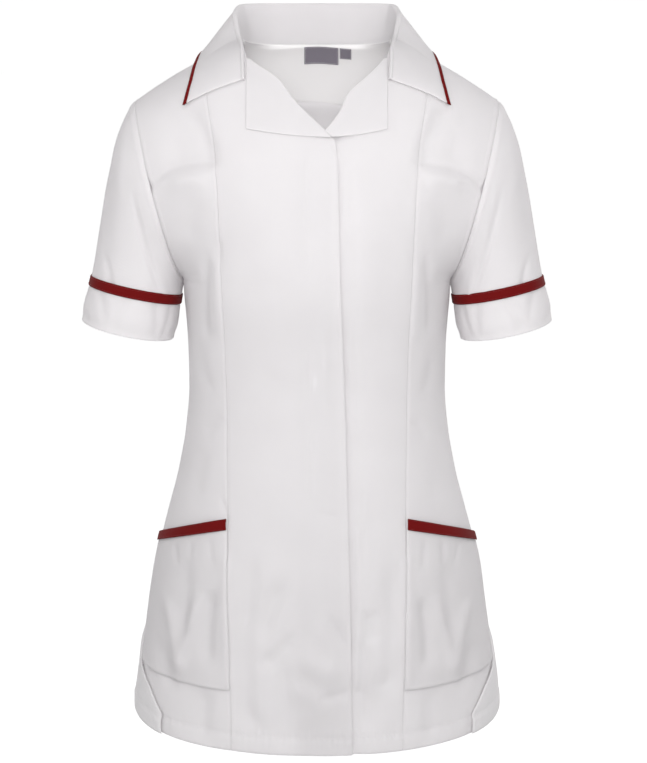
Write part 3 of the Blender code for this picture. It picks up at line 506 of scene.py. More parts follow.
def grid_object(name, outer, thickness, material, wrap=False):
    """Sheet of cloth between a grid of points and the same grid moved inwards."""
    rows, columns = outer.shape[:2]
    inner = outer - normals_of(outer, wrap) * thickness
    ids = np.arange(rows * columns).reshape(rows, columns)
    vertices = [outer.reshape(-1, 3), inner.reshape(-1, 3)]
    wide = np.concatenate((ids, ids[:, :1]), axis=1) if wrap else ids
    a, b, c, d = wide[:-1, :-1], wide[:-1, 1:], wide[1:, 1:], wide[1:, :-1]
    half = rows * columns
    faces = [np.stack((a, b, c, d), -1).reshape(-1, 4),
             np.stack((d, c, b, a), -1).reshape(-1, 4) + half]
    if wrap:
        loops = [ids[0], ids[-1][::-1]]
        outward = [outer[0] - outer[1], (outer[-1] - outer[-2])[::-1]]
    else:
        loops = [np.concatenate((ids[0, :-1], ids[:-1, -1], ids[-1, :0:-1], ids[:0:-1, 0]))]
        across, down = np.gradient(outer, axis=1), np.gradient(outer, axis=0)
        outward = [np.concatenate((-down[0, :-1], across[:-1, -1], down[-1, :0:-1],
                                   -across[:0:-1, 0]))]
    count = 2 * half
    flat_outer, flat_inner = vertices[0], vertices[1]
    for loop, away in zip(loops, outward):
        middle = (flat_outer[loop] + flat_inner[loop]) / 2 + unit(away) * thickness * 0.42
        vertices.append(middle)
        ring = np.arange(len(loop)) + count
        count += len(loop)
        after, ring_after = np.roll(loop, -1), np.roll(ring, -1)
        faces.append(np.stack((after, loop, ring, ring_after), -1))
        faces.append(np.stack((ring_after, ring, loop + half, after + half), -1))
    vertices, faces = np.concatenate(vertices), np.concatenate(faces)
    flat = flat_places(outer[rows // 2], outer[:, columns // 2])
    uv = np.concatenate([flat, flat] + [flat[loop] for loop in loops])
    return mesh_object(name, vertices, faces, material, uv)


def flat_places(row, column):
    """Place on the flat cloth of each point of a grid, measured along a row and a column."""
    places = np.meshgrid(run_lengths(row), run_lengths(column))
    return np.stack(places, axis=-1).reshape(-1, 2)


def mesh_object(name, vertices, faces, material, uv=None):
    mesh = bpy.data.meshes.new(name)
    mesh.from_pydata(vertices.tolist(), [], faces if isinstance(faces, list) else faces.tolist())
    if uv is not None:
        layer = mesh.uv_layers.new(name="cloth")
        corners = np.empty(len(mesh.loops), int)
        mesh.loops.foreach_get("vertex_index", corners)
        layer.data.foreach_set("uv", uv[corners].ravel())
    mesh.materials.append(material)
    mesh.shade_smooth()
    thing = bpy.data.objects.new(name, mesh)
    bpy.context.scene.collection.objects.link(thing)
    return thing


def piece(thing, nodes=()):
    """Makes an object part of the tunic."""
    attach(thing, "root")
    if nodes:
        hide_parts(*nodes)
    return thing


def dress(node, grid, material, thickness=CLOTH, wrap=False):
    """Cloth that takes the place of one solid."""
    return piece(grid_object(node + "_cloth", grid, thickness, material, wrap), [node])


def band(node, grid, material, thickness, wrap=False):
    """Tape that takes the place of one solid."""
    return piece(grid_object(node + "_tape", grid, thickness, material, wrap), [node])


# --- Materials ---

def add_node(tree, kind, inputs, **settings):
    """New node; each input is a value or the output that feeds it."""
    node = tree.nodes.new("ShaderNode" + kind)
    for name, value in settings.items():
        setattr(node, name, value)
    for name, value in inputs.items():
        if isinstance(value, bpy.types.NodeSocket):
            tree.links.new(value, node.inputs[name])
        else:
            node.inputs[name].default_value = value
    return node


def new_material(name, colour, roughness, sheen=0.0, shine=0.25):
    material = bpy.data.materials.new(name)
    material.use_nodes = True
    surface = material.node_tree.nodes["Principled BSDF"]
    surface.inputs["Base Color"].default_value = (*colour, 1.0)
    surface.inputs["Roughness"].default_value = roughness
    surface.inputs["Sheen Weight"].default_value = sheen
    surface.inputs["Sheen Roughness"].default_value = 0.4
    surface.inputs["Specular IOR Level"].default_value = shine
    return material, material.node_tree, surface


def blend(tree, share, low, high):
    """Colour between two colours."""
    node = add_node(tree, "Mix", {"Factor": share, "A": (*low, 1.0), "B": (*high, 1.0)},
                    data_type="RGBA")
    return node.outputs["Result"]


def bump(tree, height, strength, distance, under=None):
    """Normal with a relief, on top of another normal or alone."""
    inputs = {"Height": height, "Strength": strength, "Distance": distance}
    if under:
        inputs["Normal"] = under
    return add_node(tree, "Bump", inputs).outputs["Normal"]


def weave(tree, pitch, turn):
    """Height of a plain weave, one wave along each thread direction."""
    place = add_node(tree, "TexCoord", {}).outputs["UV"]
    spun = add_node(tree, "Mapping", {"Vector": place, "Rotation": (0.0, 0.0, turn)})
    threads = [add_node(tree, "TexWave", {"Vector": spun.outputs["Vector"], "Detail": 0.0,
                                          "Scale": WAVE_SCALE / pitch, "Distortion": 0.6},
                        bands_direction=direction).outputs["Fac"] for direction in ("X", "Y")]
    return add_node(tree, "Math", {0: threads[0], 1: threads[1]}, operation="MAXIMUM").outputs[0]


def cloth_material(name, colour, shade, pitch, turn=0.0, sheen=0.15, shine=0.25, through=0.0):
    """Woven cloth: thread bump, slubs, faint unevenness of colour, light let through."""
    material, tree, surface = new_material(name, colour, 0.88, sheen, shine)
    place = add_node(tree, "TexCoord", {}).outputs["Object"]
    cloudy = add_node(tree, "TexNoise", {"Vector": place, "Scale": 22.0, "Detail": 3.0})
    tint = blend(tree, cloudy.outputs["Fac"], colour, shade)
    slubs = add_node(tree, "TexNoise", {"Vector": place, "Scale": 160.0, "Detail": 4.0})
    normal = bump(tree, slubs.outputs["Fac"], 0.5, SLUB_HEIGHT)
    normal = bump(tree, weave(tree, pitch, turn), 0.6, THREAD_HEIGHT, normal)
    tree.links.new(tint, surface.inputs["Base Color"])
    tree.links.new(normal, surface.inputs["Normal"])
    if through:
        glow = add_node(tree, "BsdfTranslucent", {"Color": tint, "Normal": normal})
        both = add_node(tree, "MixShader", {"Fac": through, 1: surface.outputs["BSDF"],
                                            2: glow.outputs["BSDF"]})
        tree.links.new(both.outputs["Shader"], tree.nodes["Material Output"].inputs["Surface"])
    return material


def thread_material(name, colour):
    """Spun thread: plies that wind round it, with painted shade in the grooves between them, and a soft
    shine.
    """
    material, tree, surface = new_material(name, colour, 0.55, 0.2)
    place = add_node(tree, "TexCoord", {}).outputs["Object"]
    plies = add_node(tree, "TexWave", {"Vector": place, "Scale": 900.0, "Distortion": 2.0},
                     bands_direction="DIAGONAL").outputs["Fac"]
    # painted shade: the thread is darker in the grooves between its plies
    ply_groove_shade = [0.86 * part for part in colour]
    tree.links.new(blend(tree, plies, ply_groove_shade, colour), surface.inputs["Base Color"])
    tree.links.new(bump(tree, plies, 0.5, PLY_HEIGHT), surface.inputs["Normal"])
    return material


# A wave texture of scale 1 repeats every 0.31415; the heights are in metres
WAVE_SCALE = 0.31415
SLUB_HEIGHT, THREAD_HEIGHT, PLY_HEIGHT = 0.00012, 0.00006, 0.00008

WHITE = cloth_material("white_cloth", (0.850, 0.836, 0.843), (0.820, 0.804, 0.812), 0.00045,
                       through=0.5)
# The back is the same white cloth made darker: painted shade that keeps the back from looking brighter
# than the sleeves.
BACK_WHITE_PAINTED_SHADE = cloth_material("back_cloth", (0.806, 0.793, 0.800), (0.778, 0.762, 0.770), 0.00045,
                            through=0.3)
# The facing is the same white cloth made paler: painted light that brightens the shaded inside of the
# neck.
FACING_WHITE_PAINTED_LIGHT = cloth_material("facing_cloth_painted_light", (0.935, 0.925, 0.922), (0.915, 0.902, 0.900), 0.00045,
                        through=0.25)
RED = cloth_material("red_tape", (0.135, 0.0036, 0.0038), (0.095, 0.0024, 0.0026), 0.00040,
                     turn=math.radians(45), sheen=0.03, shine=0.10)
GREY = cloth_material("label_tape", (0.188, 0.172, 0.202), (0.164, 0.150, 0.178), 0.00050)
ZIP = cloth_material("zip_tape", (0.80, 0.80, 0.81), (0.76, 0.76, 0.77), 0.00050)
THREAD = thread_material("white_thread", (0.84, 0.82, 0.83))
RED_THREAD = thread_material("red_thread", (0.19, 0.007, 0.009))


# --- Panels ---

def spread(count, edge=0.02):
    """Steps from 0 to 1, closer at both ends."""
    inside = np.linspace(edge, 1.0 - edge, count)
    ends = edge * np.array((0.0, 0.12, 0.3, 0.6))
    return np.concatenate((ends, inside, 1.0 - ends[::-1]))


def panel_rows(count_low=170, count_high=105):
    """Rows of a panel from the hem to the shoulder seam, closer at both ends."""
    low = np.concatenate((np.array((0.0, 0.0008, 0.002, 0.004)), np.linspace(0.007, 1.0, count_low)))
    high = 1.0 + np.linspace(0.0, 1.0, count_high)[1:]
    high[-1] = 2.0 - TOP_SHIFT
    return np.concatenate((low, high))


def seam_dip(distance, depth=0.0007, width=0.0016):
    """How far cloth sinks towards a seam at some distance from it."""
    return depth * bell(distance, width)


def stitched(distance, away, stand=0.0003, groove=0.00022):
    """Cloth standing between a seam and the stitch line beside it."""
    return (stand * bell(distance - away * 0.55, away * 0.35)
            - groove * bell(distance - away, 0.0007))


def row_distances(grid):
    """Distance of each point from the grid's first row."""
    steps = np.linalg.norm(np.diff(grid, axis=0), axis=-1)
    return np.concatenate((np.zeros((1, grid.shape[1])), np.cumsum(steps, axis=0)))


def edge_distances(grid):
    """Distance of each point from the grid's first and last column."""
    along_row = turned(row_distances(turned(grid)))
    return along_row, along_row[:, -1:] - along_row


SKIRT_TOP, SKIRT_FADE, SKIRT_UNEVEN = -0.42, 0.16, 0.0006
HEM_STITCH = 0.017       # height of the hem's stitch line above its edge
PRINCESS_STITCH, ARMHOLE_STITCH, VENT_STITCH = 0.0022, 0.0052, 0.009


def hem_relief(distance, across, seed):
    """Turned hem: a groove at the stitch line, puckers and a little fullness below it."""
    groove = 0.00075 * bell(distance - HEM_STITCH, 0.0012)
    full = 0.00080 * smooth(distance / 0.002) * smooth((HEM_STITCH + 0.001 - distance) / 0.003)
    pucker = (0.00030 * np.sin(across * 2 * np.pi / 0.0061 + 3 * np.sin(across * 60))
              + 0.00055 * ripple(across, 0 * across, 0.018, 40 + seed))
    return full - groove + pucker * bell(distance - HEM_STITCH, 0.007)


def line_beside(grid, distances, away):
    """Points and normals of the line at one distance from an edge, one for each row."""
    normals = normals_of(grid)
    points, ways = [], []
    for row, far, out in zip(grid, distances, normals):
        if far[-1] < far[0]:
            row, far, out = row[::-1], far[::-1], out[::-1]
        if far[-1] < away:
            continue
        points.append(along(away, far, row))
        ways.append(along(away, far, out))
    return np.array(points), np.array(ways)


def line_above(grid, distances, away):
    """The same for the line at one distance from the grid's first row."""
    points, ways = line_beside(turned(grid), turned(distances), away)
    return points, -ways


STITCH_PITCH, STITCH_LENGTH, STITCH_THICK = 0.0027, 0.0020, 0.00036


def stitches(name, lines, material):
    """Rows of lockstitches; each line is points and the cloth's normals along it."""
    vertices, faces, count = [], [], 0
    for points, ways in lines:
        lengths = run_lengths(points)
        middles = np.arange(STITCH_PITCH * 0.7, lengths[-1] - STITCH_PITCH * 0.6, STITCH_PITCH)
        if not len(middles):
            continue
        places = middles[:, None] + STITCH_LENGTH * np.array((-0.5, -0.25, 0.25, 0.5))
        spots = along(places, lengths, points)
        ups = unit(along(places, lengths, ways))
        runs = unit(spots[:, -1] - spots[:, 0])[:, None]
        sides = unit(np.cross(runs, ups))
        radius = STITCH_THICK / 2
        rings = [spots[:, :1] - ups[:, :1] * radius * 0.4]
        for ring in (1, 2):
            middle = spots[:, ring] + ups[:, ring] * radius * 0.5
            rings.append(np.stack([middle + sides[:, ring] * radius, middle + ups[:, ring] * radius,
                                   middle - sides[:, ring] * radius,
                                   middle - ups[:, ring] * radius], axis=1))
        rings.append(spots[:, 3:] - ups[:, 3:] * radius * 0.4)
        body = np.concatenate(rings, axis=1)
        for stitch in range(len(body)):
            at = count + 10 * stitch
            for k in range(4):
                after = (k + 1) % 4
                faces.append((at, at + 1 + after, at + 1 + k))
                faces.append((at + 1 + k, at + 1 + after, at + 5 + after, at + 5 + k))
                faces.append((at + 9, at + 5 + k, at + 5 + after))
        vertices.append(body.reshape(-1, 3))
        count += len(vertices[-1])
    return piece(mesh_object(name, np.concatenate(vertices), faces, material))


def long_edges(grid, wrap=False):
    """Lines for the stitches along both long edges of a tape."""
    normals = normals_of(grid, wrap)
    return [(grid[k], normals[k]) for k in (1, len(grid) - 2)]


def body_relief(points, folds, least, pitch, seed):
    """Folds, and a soft unevenness that grows in the skirt."""
    across, height = points[..., 0], points[..., 2]
    uneven = least + SKIRT_UNEVEN * smooth((SKIRT_TOP - height) / SKIRT_FADE)
    return relief(across, height, folds) + uneven * ripple(across, height * 0.6, pitch, seed)


def front_relief(points):
    return body_relief(points, FRONT_FOLDS, 0.0004, 0.060, 3)


def front_panel(inner_line, outer_line, shifts, count, side, armhole_side=False):
    """Panel between two lines of the front, on the wearer's left (1) or right (-1)."""
    row = panel_rows()
    low = share_on_line(row, inner_line, shifts[0]) if inner_line else None
    high = share_on_line(row, outer_line, shifts[1]) if outer_line else side_seam(row) - SEAM_SHARE
    around = mix(low[:, None], high[:, None], spread(count)[None, :])
    rows = np.broadcast_to(row[:, None], around.shape)
    points, normals = sample(rows, around)
    if side < 0:
        points, normals = mirrored(points)[:, ::-1], mirrored(normals)[:, ::-1]
    near, far = edge_distances(points)
    if side < 0:
        near, far = far, near
    lift = front_relief(points) - seam_dip(far)
    if armhole_side:
        upper = smooth((rows - 1.0) / 0.06)
        lift = lift - seam_dip(near) + stitched(far, ARMHOLE_STITCH, 0.0004) * upper
        lift = lift + 0.0004 * bell(far, 0.0016) * upper
    else:
        lift = lift + stitched(far, PRINCESS_STITCH)
    height = row_distances(points)
    lift = lift + hem_relief(height, points[..., 0], 1)
    return points, normals, lift, near, far, height, rows


def build_fronts():
    for side, name, line, area in ((-1, "front_right", RIGHT_EDGE, 0.088),
                                   (1, "front_left", LEFT_EDGE, 0.080)):
        points, normals, lift, near, far, height, _ = front_panel(
            line, PRINCESS, (0.0, -SEAM), 76, side)
        if side < 0:
            lift = lift - 0.0004 * bell(near, 0.0012) + 0.0003 * bell(near - 0.004, 0.003)
        else:
            edge = -curve(RIGHT_EDGE, np.minimum(points[..., 2], -0.0985), curved=False)
            lift = lift - UNDERLAP_DROP * (1.0 - smooth((points[..., 0] - edge) / UNDERLAP_RAMP))
        grid = raised(points, normals, lift)
        cloth = dress(name, grid, WHITE)
        thread = stitches(name + "_stitches", [line_beside(grid, far, PRINCESS_STITCH),
                                               line_above(grid, height, HEM_STITCH)], THREAD)


def build_side_fronts():
    for side, name in ((1, "side_front_left"), (-1, "side_front_right")):
        points, normals, lift, _, far, height, rows = front_panel(
            PRINCESS, None, (SEAM, 0.0), 56, side, True)
        grid = raised(points, normals, lift)
        cloth = dress(name, grid, WHITE)
        upper = rows[:, 0] > 1.03
        thread = stitches(name + "_stitches", [
            line_beside(grid[upper], far[upper], ARMHOLE_STITCH),
            line_above(grid, height, HEM_STITCH)], THREAD)


def back_edge(row):
    height = mix(HEM, UNDERARM, np.minimum(row, 1.0))
    edge = np.where(height < VENT_EDGE[-1][0], curve(VENT_EDGE, height, curved=False),
                    side_seam(row) + SEAM_SHARE)
    return np.where(row > 1.0, 1.0 + SEAM_SHARE, edge)


def vent_lift(row, around):
    height = mix(HEM, UNDERARM, np.minimum(row, 1.0))
    near = 1.0 - smooth((np.abs(around) - side_seam(row) - VENT_REACH) / VENT_REACH)
    fade = 1.0 - smooth((height - VENT_TOP - VENT_FADE / 2) / VENT_FADE)
    return np.where(row > 1.0, 0.0, VENT_LIFT * near * fade)


NECK_SHARE = float(share_at(False, np.array(2.0), np.array(NECK_SIDE)))


def back_columns(neck=26, rest=56):
    """Shares round a back quarter, with the row where the neck or shoulder cuts each."""
    turns = np.pi / 2 * np.linspace(0, 1, neck)
    shares = np.concatenate((NECK_SHARE * np.sin(turns),
                             mix(NECK_SHARE, 1.0, np.sin(np.pi / 2 * np.linspace(0, 1, rest)[1:]))))
    tops = np.concatenate((2.0 - (1.0 - BACK_NECK_ROW) * np.cos(turns), np.full(rest - 1, 2.0)))
    return (np.concatenate((-shares[:0:-1], shares)), np.concatenate((tops[:0:-1], tops)))


def back_grid(rows, shares, tops):
    row = np.where(rows[:, None] <= 1.0, rows[:, None] + 0 * tops,
                   1.0 + (rows[:, None] - 1.0) * (tops[None, :] - 1.0))
    row = np.minimum(row, tops[None, :] - TOP_SHIFT)
    around = np.copysign(2.0 - np.abs(shares)[None, :] * (2.0 - back_edge(row)), shares[None, :])
    return row, around


def build_back():
    shares, tops = back_columns()
    row, around = back_grid(panel_rows(), shares, tops)
    points, normals = sample(row, around)
    near, far = edge_distances(points)
    edge, height = np.minimum(near, far), row_distances(points)
    upper = smooth((row - 1.0) / 0.06)
    folds = body_relief(points, BACK_FOLDS, 0.0005, 0.065, 5)
    lift = (vent_lift(row, around) + folds - seam_dip(edge)
            + stitched(edge, ARMHOLE_STITCH, 0.0005) * upper
            + hem_relief(height, points[..., 0], 2))
    grid = raised(points, normals, lift)[:, ::-1]
    # The back wears the darker copy of the white cloth, a painted shade.
    cloth = dress("back", grid, BACK_WHITE_PAINTED_SHADE)
    above = (row[:, 0] > 1.03) & (row[:, 0] < 1.99)
    low = row[:, 0] < row_at(-0.655)
    lines = [line_beside(grid[part], side[part][:, ::-1], away) for part, away in (
        (above, ARMHOLE_STITCH), (low, VENT_STITCH)) for side in (near, far)]
    lines.append(line_above(grid, height[:, ::-1], HEM_STITCH))
    thread = stitches("back_stitches", lines, THREAD)


def build_facing():
    """Facing inside the back's neck, its top lapped on to the collar's stand."""
    shares, tops = back_columns()
    inside = tops < 1.999
    shares, tops = shares[inside], tops[inside]
    around = np.copysign(2.0 - np.abs(shares) * (1.0 - SEAM_SHARE), shares)
    top, _ = sample(tops - TOP_SHIFT, around)
    low, _ = place_at(False, top[:, 0], mix(*FACING_LOW, (top[:, 0] / NECK_SIDE + 1.0) / 2))
    row = mix(low, tops - TOP_SHIFT, np.linspace(0, 1, 40)[:, None])
    points, normals = sample(row, np.broadcast_to(around, row.shape))
    points = points - normals * 2 * CLOTH
    stand, _, _ = collar_lines(np.linspace(0, 0.6, 60))
    side, centre = np.abs(top[:, 0]), np.array((0.0, 0.0, stand[0, 0, 2]))
    foot, up = stand[:, 0], unit(stand[:, 4] - stand[:, 0])
    inward = unit((centre - foot) * np.array((1.0, 1.0, 0.0)))
    goal = foot + up * 0.0012 + inward * 0.0003
    goal = along(side, foot[:, 0], goal)
    goal[:, 0] = np.copysign(goal[:, 0], top[:, 0])
    lap = mix(points[-1], goal, np.linspace(0, 1, 6)[1:, None, None])
    points = np.concatenate((points, lap))
    # The facing wears the paler copy of the white cloth, a painted light.
    facing = dress("back_neck_facing", points[:, ::-1], FACING_WHITE_PAINTED_LIGHT)


# --- Sleeves ---

def cuff_point(down, turn, lift=0.0):
    out = np.array((math.cos(SLEEVE_LEAN), 0.0, math.sin(SLEEVE_LEAN)))
    front = np.array((0.0, -1.0, 0.0))
    down, turn = np.broadcast_arrays(down, turn)
    deep = down * (1.0 + CUFF_DIP * np.maximum(0.0, np.sin(turn)))
    width = curve(CUFF_RINGS, down, 1) + lift
    depth = curve(CUFF_RINGS, down, 2) + lift
    return (CUFF_CENTRE + SLEEVE_AXIS * deep[..., None] + out * (width * np.cos(turn))[..., None]
            + front * (depth * np.sin(turn))[..., None])


def arm_turn(turn):
    return turn + CAP_TURN * np.sin(turn)


def armhole_point(turn):
    half_turn = np.where(turn <= np.pi, turn, 2 * np.pi - turn)
    width, reach, height = armhole(2.0 - half_turn / np.pi)
    reach = reach * np.where(np.sin(turn) >= 0.0, -ARMHOLE_FRONT, ARMHOLE_BACK)
    return np.stack((width, reach, height), axis=-1)


def sleeve_point(down, turn):
    start = armhole_point(turn)
    end = cuff_point(-0.00015, arm_turn(turn))
    span = np.linalg.norm(end - start, axis=-1, keepdims=True)
    under = (1.0 - np.cos(turn)) / 2
    slope = np.radians(mix(52.0, 84.0, under) - 12.0 * np.abs(np.sin(turn)))
    leave = np.stack((np.cos(slope), 0.0 * slope, -np.sin(slope)), axis=-1)
    start = start + np.array((ARMHOLE_GAP, 0.0, 0.0))
    return bezier(np.asarray(down)[..., None], start, start + leave * SLEEVE_LEAVE * span,
                  end - SLEEVE_AXIS * SLEEVE_HANG * span, end)


def turn_width(turn):
    """Distance round the arm from the outer side, positive to the front."""
    return 0.051 * np.where(turn > np.pi, turn - 2 * np.pi, turn)


def build_sleeves():
    turn = np.linspace(0, 2 * np.pi, 181)[:-1]
    down = np.concatenate((np.array((0.0, 0.004, 0.009, 0.016)), np.linspace(0.025, 1.0, 84)))
    down, turns = np.meshgrid(down, turn, indexing="ij")
    points = sleeve_point(down, turns)
    span_down = row_distances(points)[-1:]
    normals = normals_of(points, wrap=True)
    cuff_down, cuff_turns = np.meshgrid(np.linspace(0.0001, CUFF_LENGTH, 26), turn, indexing="ij")
    cuff = cuff_point(cuff_down, arm_turn(cuff_turns))
    cuff_normals = normals_of(cuff, wrap=True)
    trim_down, trim_turns = np.meshgrid(np.linspace(-0.5, 0.5, 9) * TRIM_WIDTH, turn, indexing="ij")
    span = np.linalg.norm(cuff_point(0 * trim_turns, arm_turn(trim_turns))
                          - armhole_point(trim_turns), axis=-1)
    upper = sleeve_point(1.0 + np.minimum(trim_down, 0) / (3 * SLEEVE_HANG * span), trim_turns)
    trim = np.where((trim_down < 0)[..., None], upper, cuff_point(trim_down, arm_turn(trim_turns)))
    trim_normals = normals_of(trim, wrap=True)
    for side, name, flip, order in SIDES:
        base, out = flip(points), flip(normals)
        away = row_distances(base)
        lift = (relief(turn_width(turns), away, SLEEVE_FOLDS) - seam_dip(away, 0.0002, 0.0020)
                + 0.0007 * bell(away - 0.006, 0.004)
                + 0.00045 * ripple(turn_width(turns), 0 * away, 0.013, 7 + side)
                * bell(away, 0.016)
                + 0.0003 * ripple(np.cos(turns) * 0.06, away, 0.06, 8 + side)
                + 0.00035 * ripple(turn_width(turns), 0 * away, 0.02, 9 + side)
                * bell(span_down - away, 0.012))
        grid = raised(base, out, lift)[:, order]
        sleeve = dress(f"sleeve_{name}", grid, WHITE, wrap=True)
        base, out = flip(cuff), flip(cuff_normals)
        lift = (relief(turn_width(cuff_turns), cuff_down, CUFF_FOLDS)
                + 0.0003 * ripple(turn_width(cuff_turns), cuff_down, 0.05, 11 + side)
                - seam_dip(cuff_down - 0.0049, 0.0005, 0.002)
                + 0.0004 * bell(cuff_down - CUFF_LENGTH, 0.003))
        grid = raised(base, out, lift)[:, order]
        cuff_cloth = dress(f"cuff_{name}", grid, WHITE, wrap=True)
        base, out = flip(trim), flip(trim_normals)
        crown = 0.0011 + 0.0004 * np.sqrt(np.clip(1 - (2 * trim_down / TRIM_WIDTH) ** 2, 0, 1))
        grid = raised(base, out, crown)[:, order]
        tape = band(f"cuff_trim_{name}", grid, RED, TAPE, wrap=True)
        thread = stitches(f"cuff_trim_{name}_stitches", long_edges(grid, True), RED_THREAD)


# --- Collar ---

def front_tree():
    """Search tree of both fronts, to keep the collar off them."""
    row, around = np.meshgrid(np.linspace(1.2, 2.0, 60), np.linspace(-1.0, 1.0, 121), indexing="ij")
    points, _ = sample(row, around)
    ids = np.arange(60 * 121).reshape(60, 121)
    faces = np.stack((ids[:-1, :-1], ids[:-1, 1:], ids[1:, 1:], ids[1:, :-1]), -1).reshape(-1, 4)
    return BVHTree.FromPolygons(points.reshape(-1, 3).tolist(), faces.tolist())


def off_front(tree, points, clear):
    moved = points.copy()
    for index in np.ndindex(points.shape[:-1]):
        point = Vector(points[index])
        if point.y > RIDGE_Y:
            continue
        spot, normal, _, _ = tree.find_nearest(point)
        short = clear - (point - spot).dot(normal)
        if short > 0.0:
            moved[index] = point + normal * short
    return moved


def collar_lines(places):
    """Stand, roll and fall of the collar's face at places from 0 (back) to 1 (notch)."""
    table = []
    for key, station in zip(np.linspace(0, 1, len(COLLAR)), COLLAR):
        front = station[8] < 0
        row, share = place_at(front, np.array(station[9]), np.array(station[10]))
        point, normal = sample(row, share if front else 2.0 - share)
        table.append((key, *station[:8], *(point + normal * station[11])))
    values = np.stack([curve(table, places, column) for column in range(1, 12)], axis=-1)
    fold, seam, rim = values[:, 0:3], values[:, 3:6], values[:, 8:11]
    lean, radius = np.radians(values[:, 6:7]), values[:, 7:8]
    out = unit((rim - fold) * np.array((1.0, 1.0, 0.0)))
    up = np.concatenate((0 * lean, -np.sin(lean), np.cos(lean)), axis=1)
    out = unit(out - up * np.sum(out * up, axis=1, keepdims=True))
    centre = fold - up * radius
    turns = np.pi * (1.0 - np.linspace(0, 1, 15))
    roll = (centre[:, None] + out[:, None] * radius[:, None] * np.cos(turns)[None, :, None]
            + up[:, None] * radius[:, None] * np.sin(turns)[None, :, None])
    tree = front_tree()
    push = off_front(tree, roll, COLLAR_CLEAR) - roll
    most = np.argmax(np.linalg.norm(push, axis=-1), axis=1)
    roll = roll + push[np.arange(len(places)), most][:, None]
    stand = mix(seam[:, None], roll[:, :1], np.linspace(0, 1, 15)[None, :-1, None])
    stand = off_front(tree, stand, 0.0008)
    start = roll[:, -1]
    reach = np.linalg.norm(rim - start, axis=1, keepdims=True)
    land = unit(rim - start)
    rise = (land * FALL_START + up * FALL_BOW * (1.0 - places[:, None] ** 4)) * reach
    handles = (start, start + rise, rim - land * FALL_END * reach, rim)
    fall = bezier(np.linspace(0, 1, 41)[None, 1:, None], *(handle[:, None] for handle in handles))
    return stand, roll, off_front(tree, fall, COLLAR_CLEAR)


def cut_short(line, distance, count):
    """The same line with evenly spaced points, ending a distance before its end."""
    lengths = run_lengths(line)
    return along(np.linspace(0, lengths[-1] - distance, count), lengths, line)


def build_collar():
    places = np.linspace(0, 1, 110)
    stand, roll, fall = collar_lines(places)
    lines, rims, ways = [], [], []
    for i in range(len(places)):
        line = np.concatenate((roll[i, -1:], fall[i]))
        short = cut_short(line, PIPING_WIDTH - 0.0006, 40)[1:]
        lines.append(np.concatenate((stand[i], roll[i], short)))
        rims.append(fall[i, -1])
        ways.append(unit(fall[i, -1] - fall[i, -2]))
    half = np.array(lines)
    grid = np.concatenate((mirrored(half[:0:-1]), half))
    rims, ways = np.array(rims), np.array(ways)
    rims = np.concatenate((mirrored(rims[:0:-1]), rims))
    ways = np.concatenate((mirrored(ways[:0:-1]), ways))
    normals = normals_of(grid)
    cloth = dress("collar", grid[::-1], WHITE, COLLAR_CLOTH)

    up = -normals[:, -1]
    up = unit(up - ways * np.sum(up * ways, axis=1, keepdims=True))
    centre = rims - ways * PIPING_WIDTH * 0.40 - up * COLLAR_CLOTH / 2
    turns = np.linspace(0, 2 * np.pi, 17)[:-1]
    wide = np.sign(np.cos(turns)) * np.abs(np.cos(turns)) ** 0.7
    tall = np.sign(np.sin(turns)) * np.abs(np.sin(turns)) ** 0.8
    tube = (centre[:, None] + ways[:, None] * (PIPING_WIDTH * 0.58 * wide)[None, :, None]
            + up[:, None] * (PIPING_DEPTH / 2 * tall)[None, :, None])
    piece(tube_object("collar_piping_tape", tube, RED), ["collar_piping"])


def tube_object(name, rings, material):
    """Closed rod through rings of points."""
    count, sides = rings.shape[:2]
    ids = np.arange(count * sides).reshape(count, sides)
    wide = np.concatenate((ids, ids[:, :1]), axis=1)
    faces = np.stack((wide[:-1, :-1], wide[:-1, 1:], wide[1:, 1:], wide[1:, :-1]), -1).reshape(-1, 4)
    centres = rings[[0, -1]].mean(axis=1)
    vertices = np.concatenate((rings.reshape(-1, 3), centres))
    first, last = count * sides, count * sides + 1
    caps = [(first, int(b), int(a)) for a, b in zip(wide[0, :-1], wide[0, 1:])]
    caps += [(last, int(a), int(b)) for a, b in zip(wide[-1, :-1], wide[-1, 1:])]
    uv = np.concatenate((flat_places(rings[0], rings[:, 0]), np.zeros((2, 2))))
    return mesh_object(name, vertices, faces.tolist() + caps, material, uv)


# --- Revers ---

def lapel_grid(turning, end, bow_height):
    """Places of a revers from its roll line to its upright edge, and the roll line's."""
    share = mix(0.02, 1.0, np.linspace(0, 1, 70))
    top_x, top_z = LAPEL_TOP
    first, second = np.clip(share / 0.92, 0, 1), np.clip((share - 0.92) / 0.08, 0, 1)
    roll_x = np.where(share < 0.92, mix(top_x, turning[0], first), mix(turning[0], end[0], second))
    roll_z = np.where(share < 0.92, mix(top_z, turning[1], first), mix(turning[1], end[1], second))
    roll_x = roll_x - ROLL_BOW * bell(roll_z - bow_height, 0.015) * smooth(share * 5)
    across = np.linspace(0, 1, 50)[None, :]
    edge_z = mix(top_z, LAPEL_CORNER, share)[:, None]
    x = mix(roll_x[:, None], LAPEL_OUTER, across)
    z = mix(roll_z[:, None], edge_z, across) - 0.0015 * np.sin(np.pi * across) * share[:, None]
    row, around = place_at(True, x, z)
    return row, around, across, share[:, None]


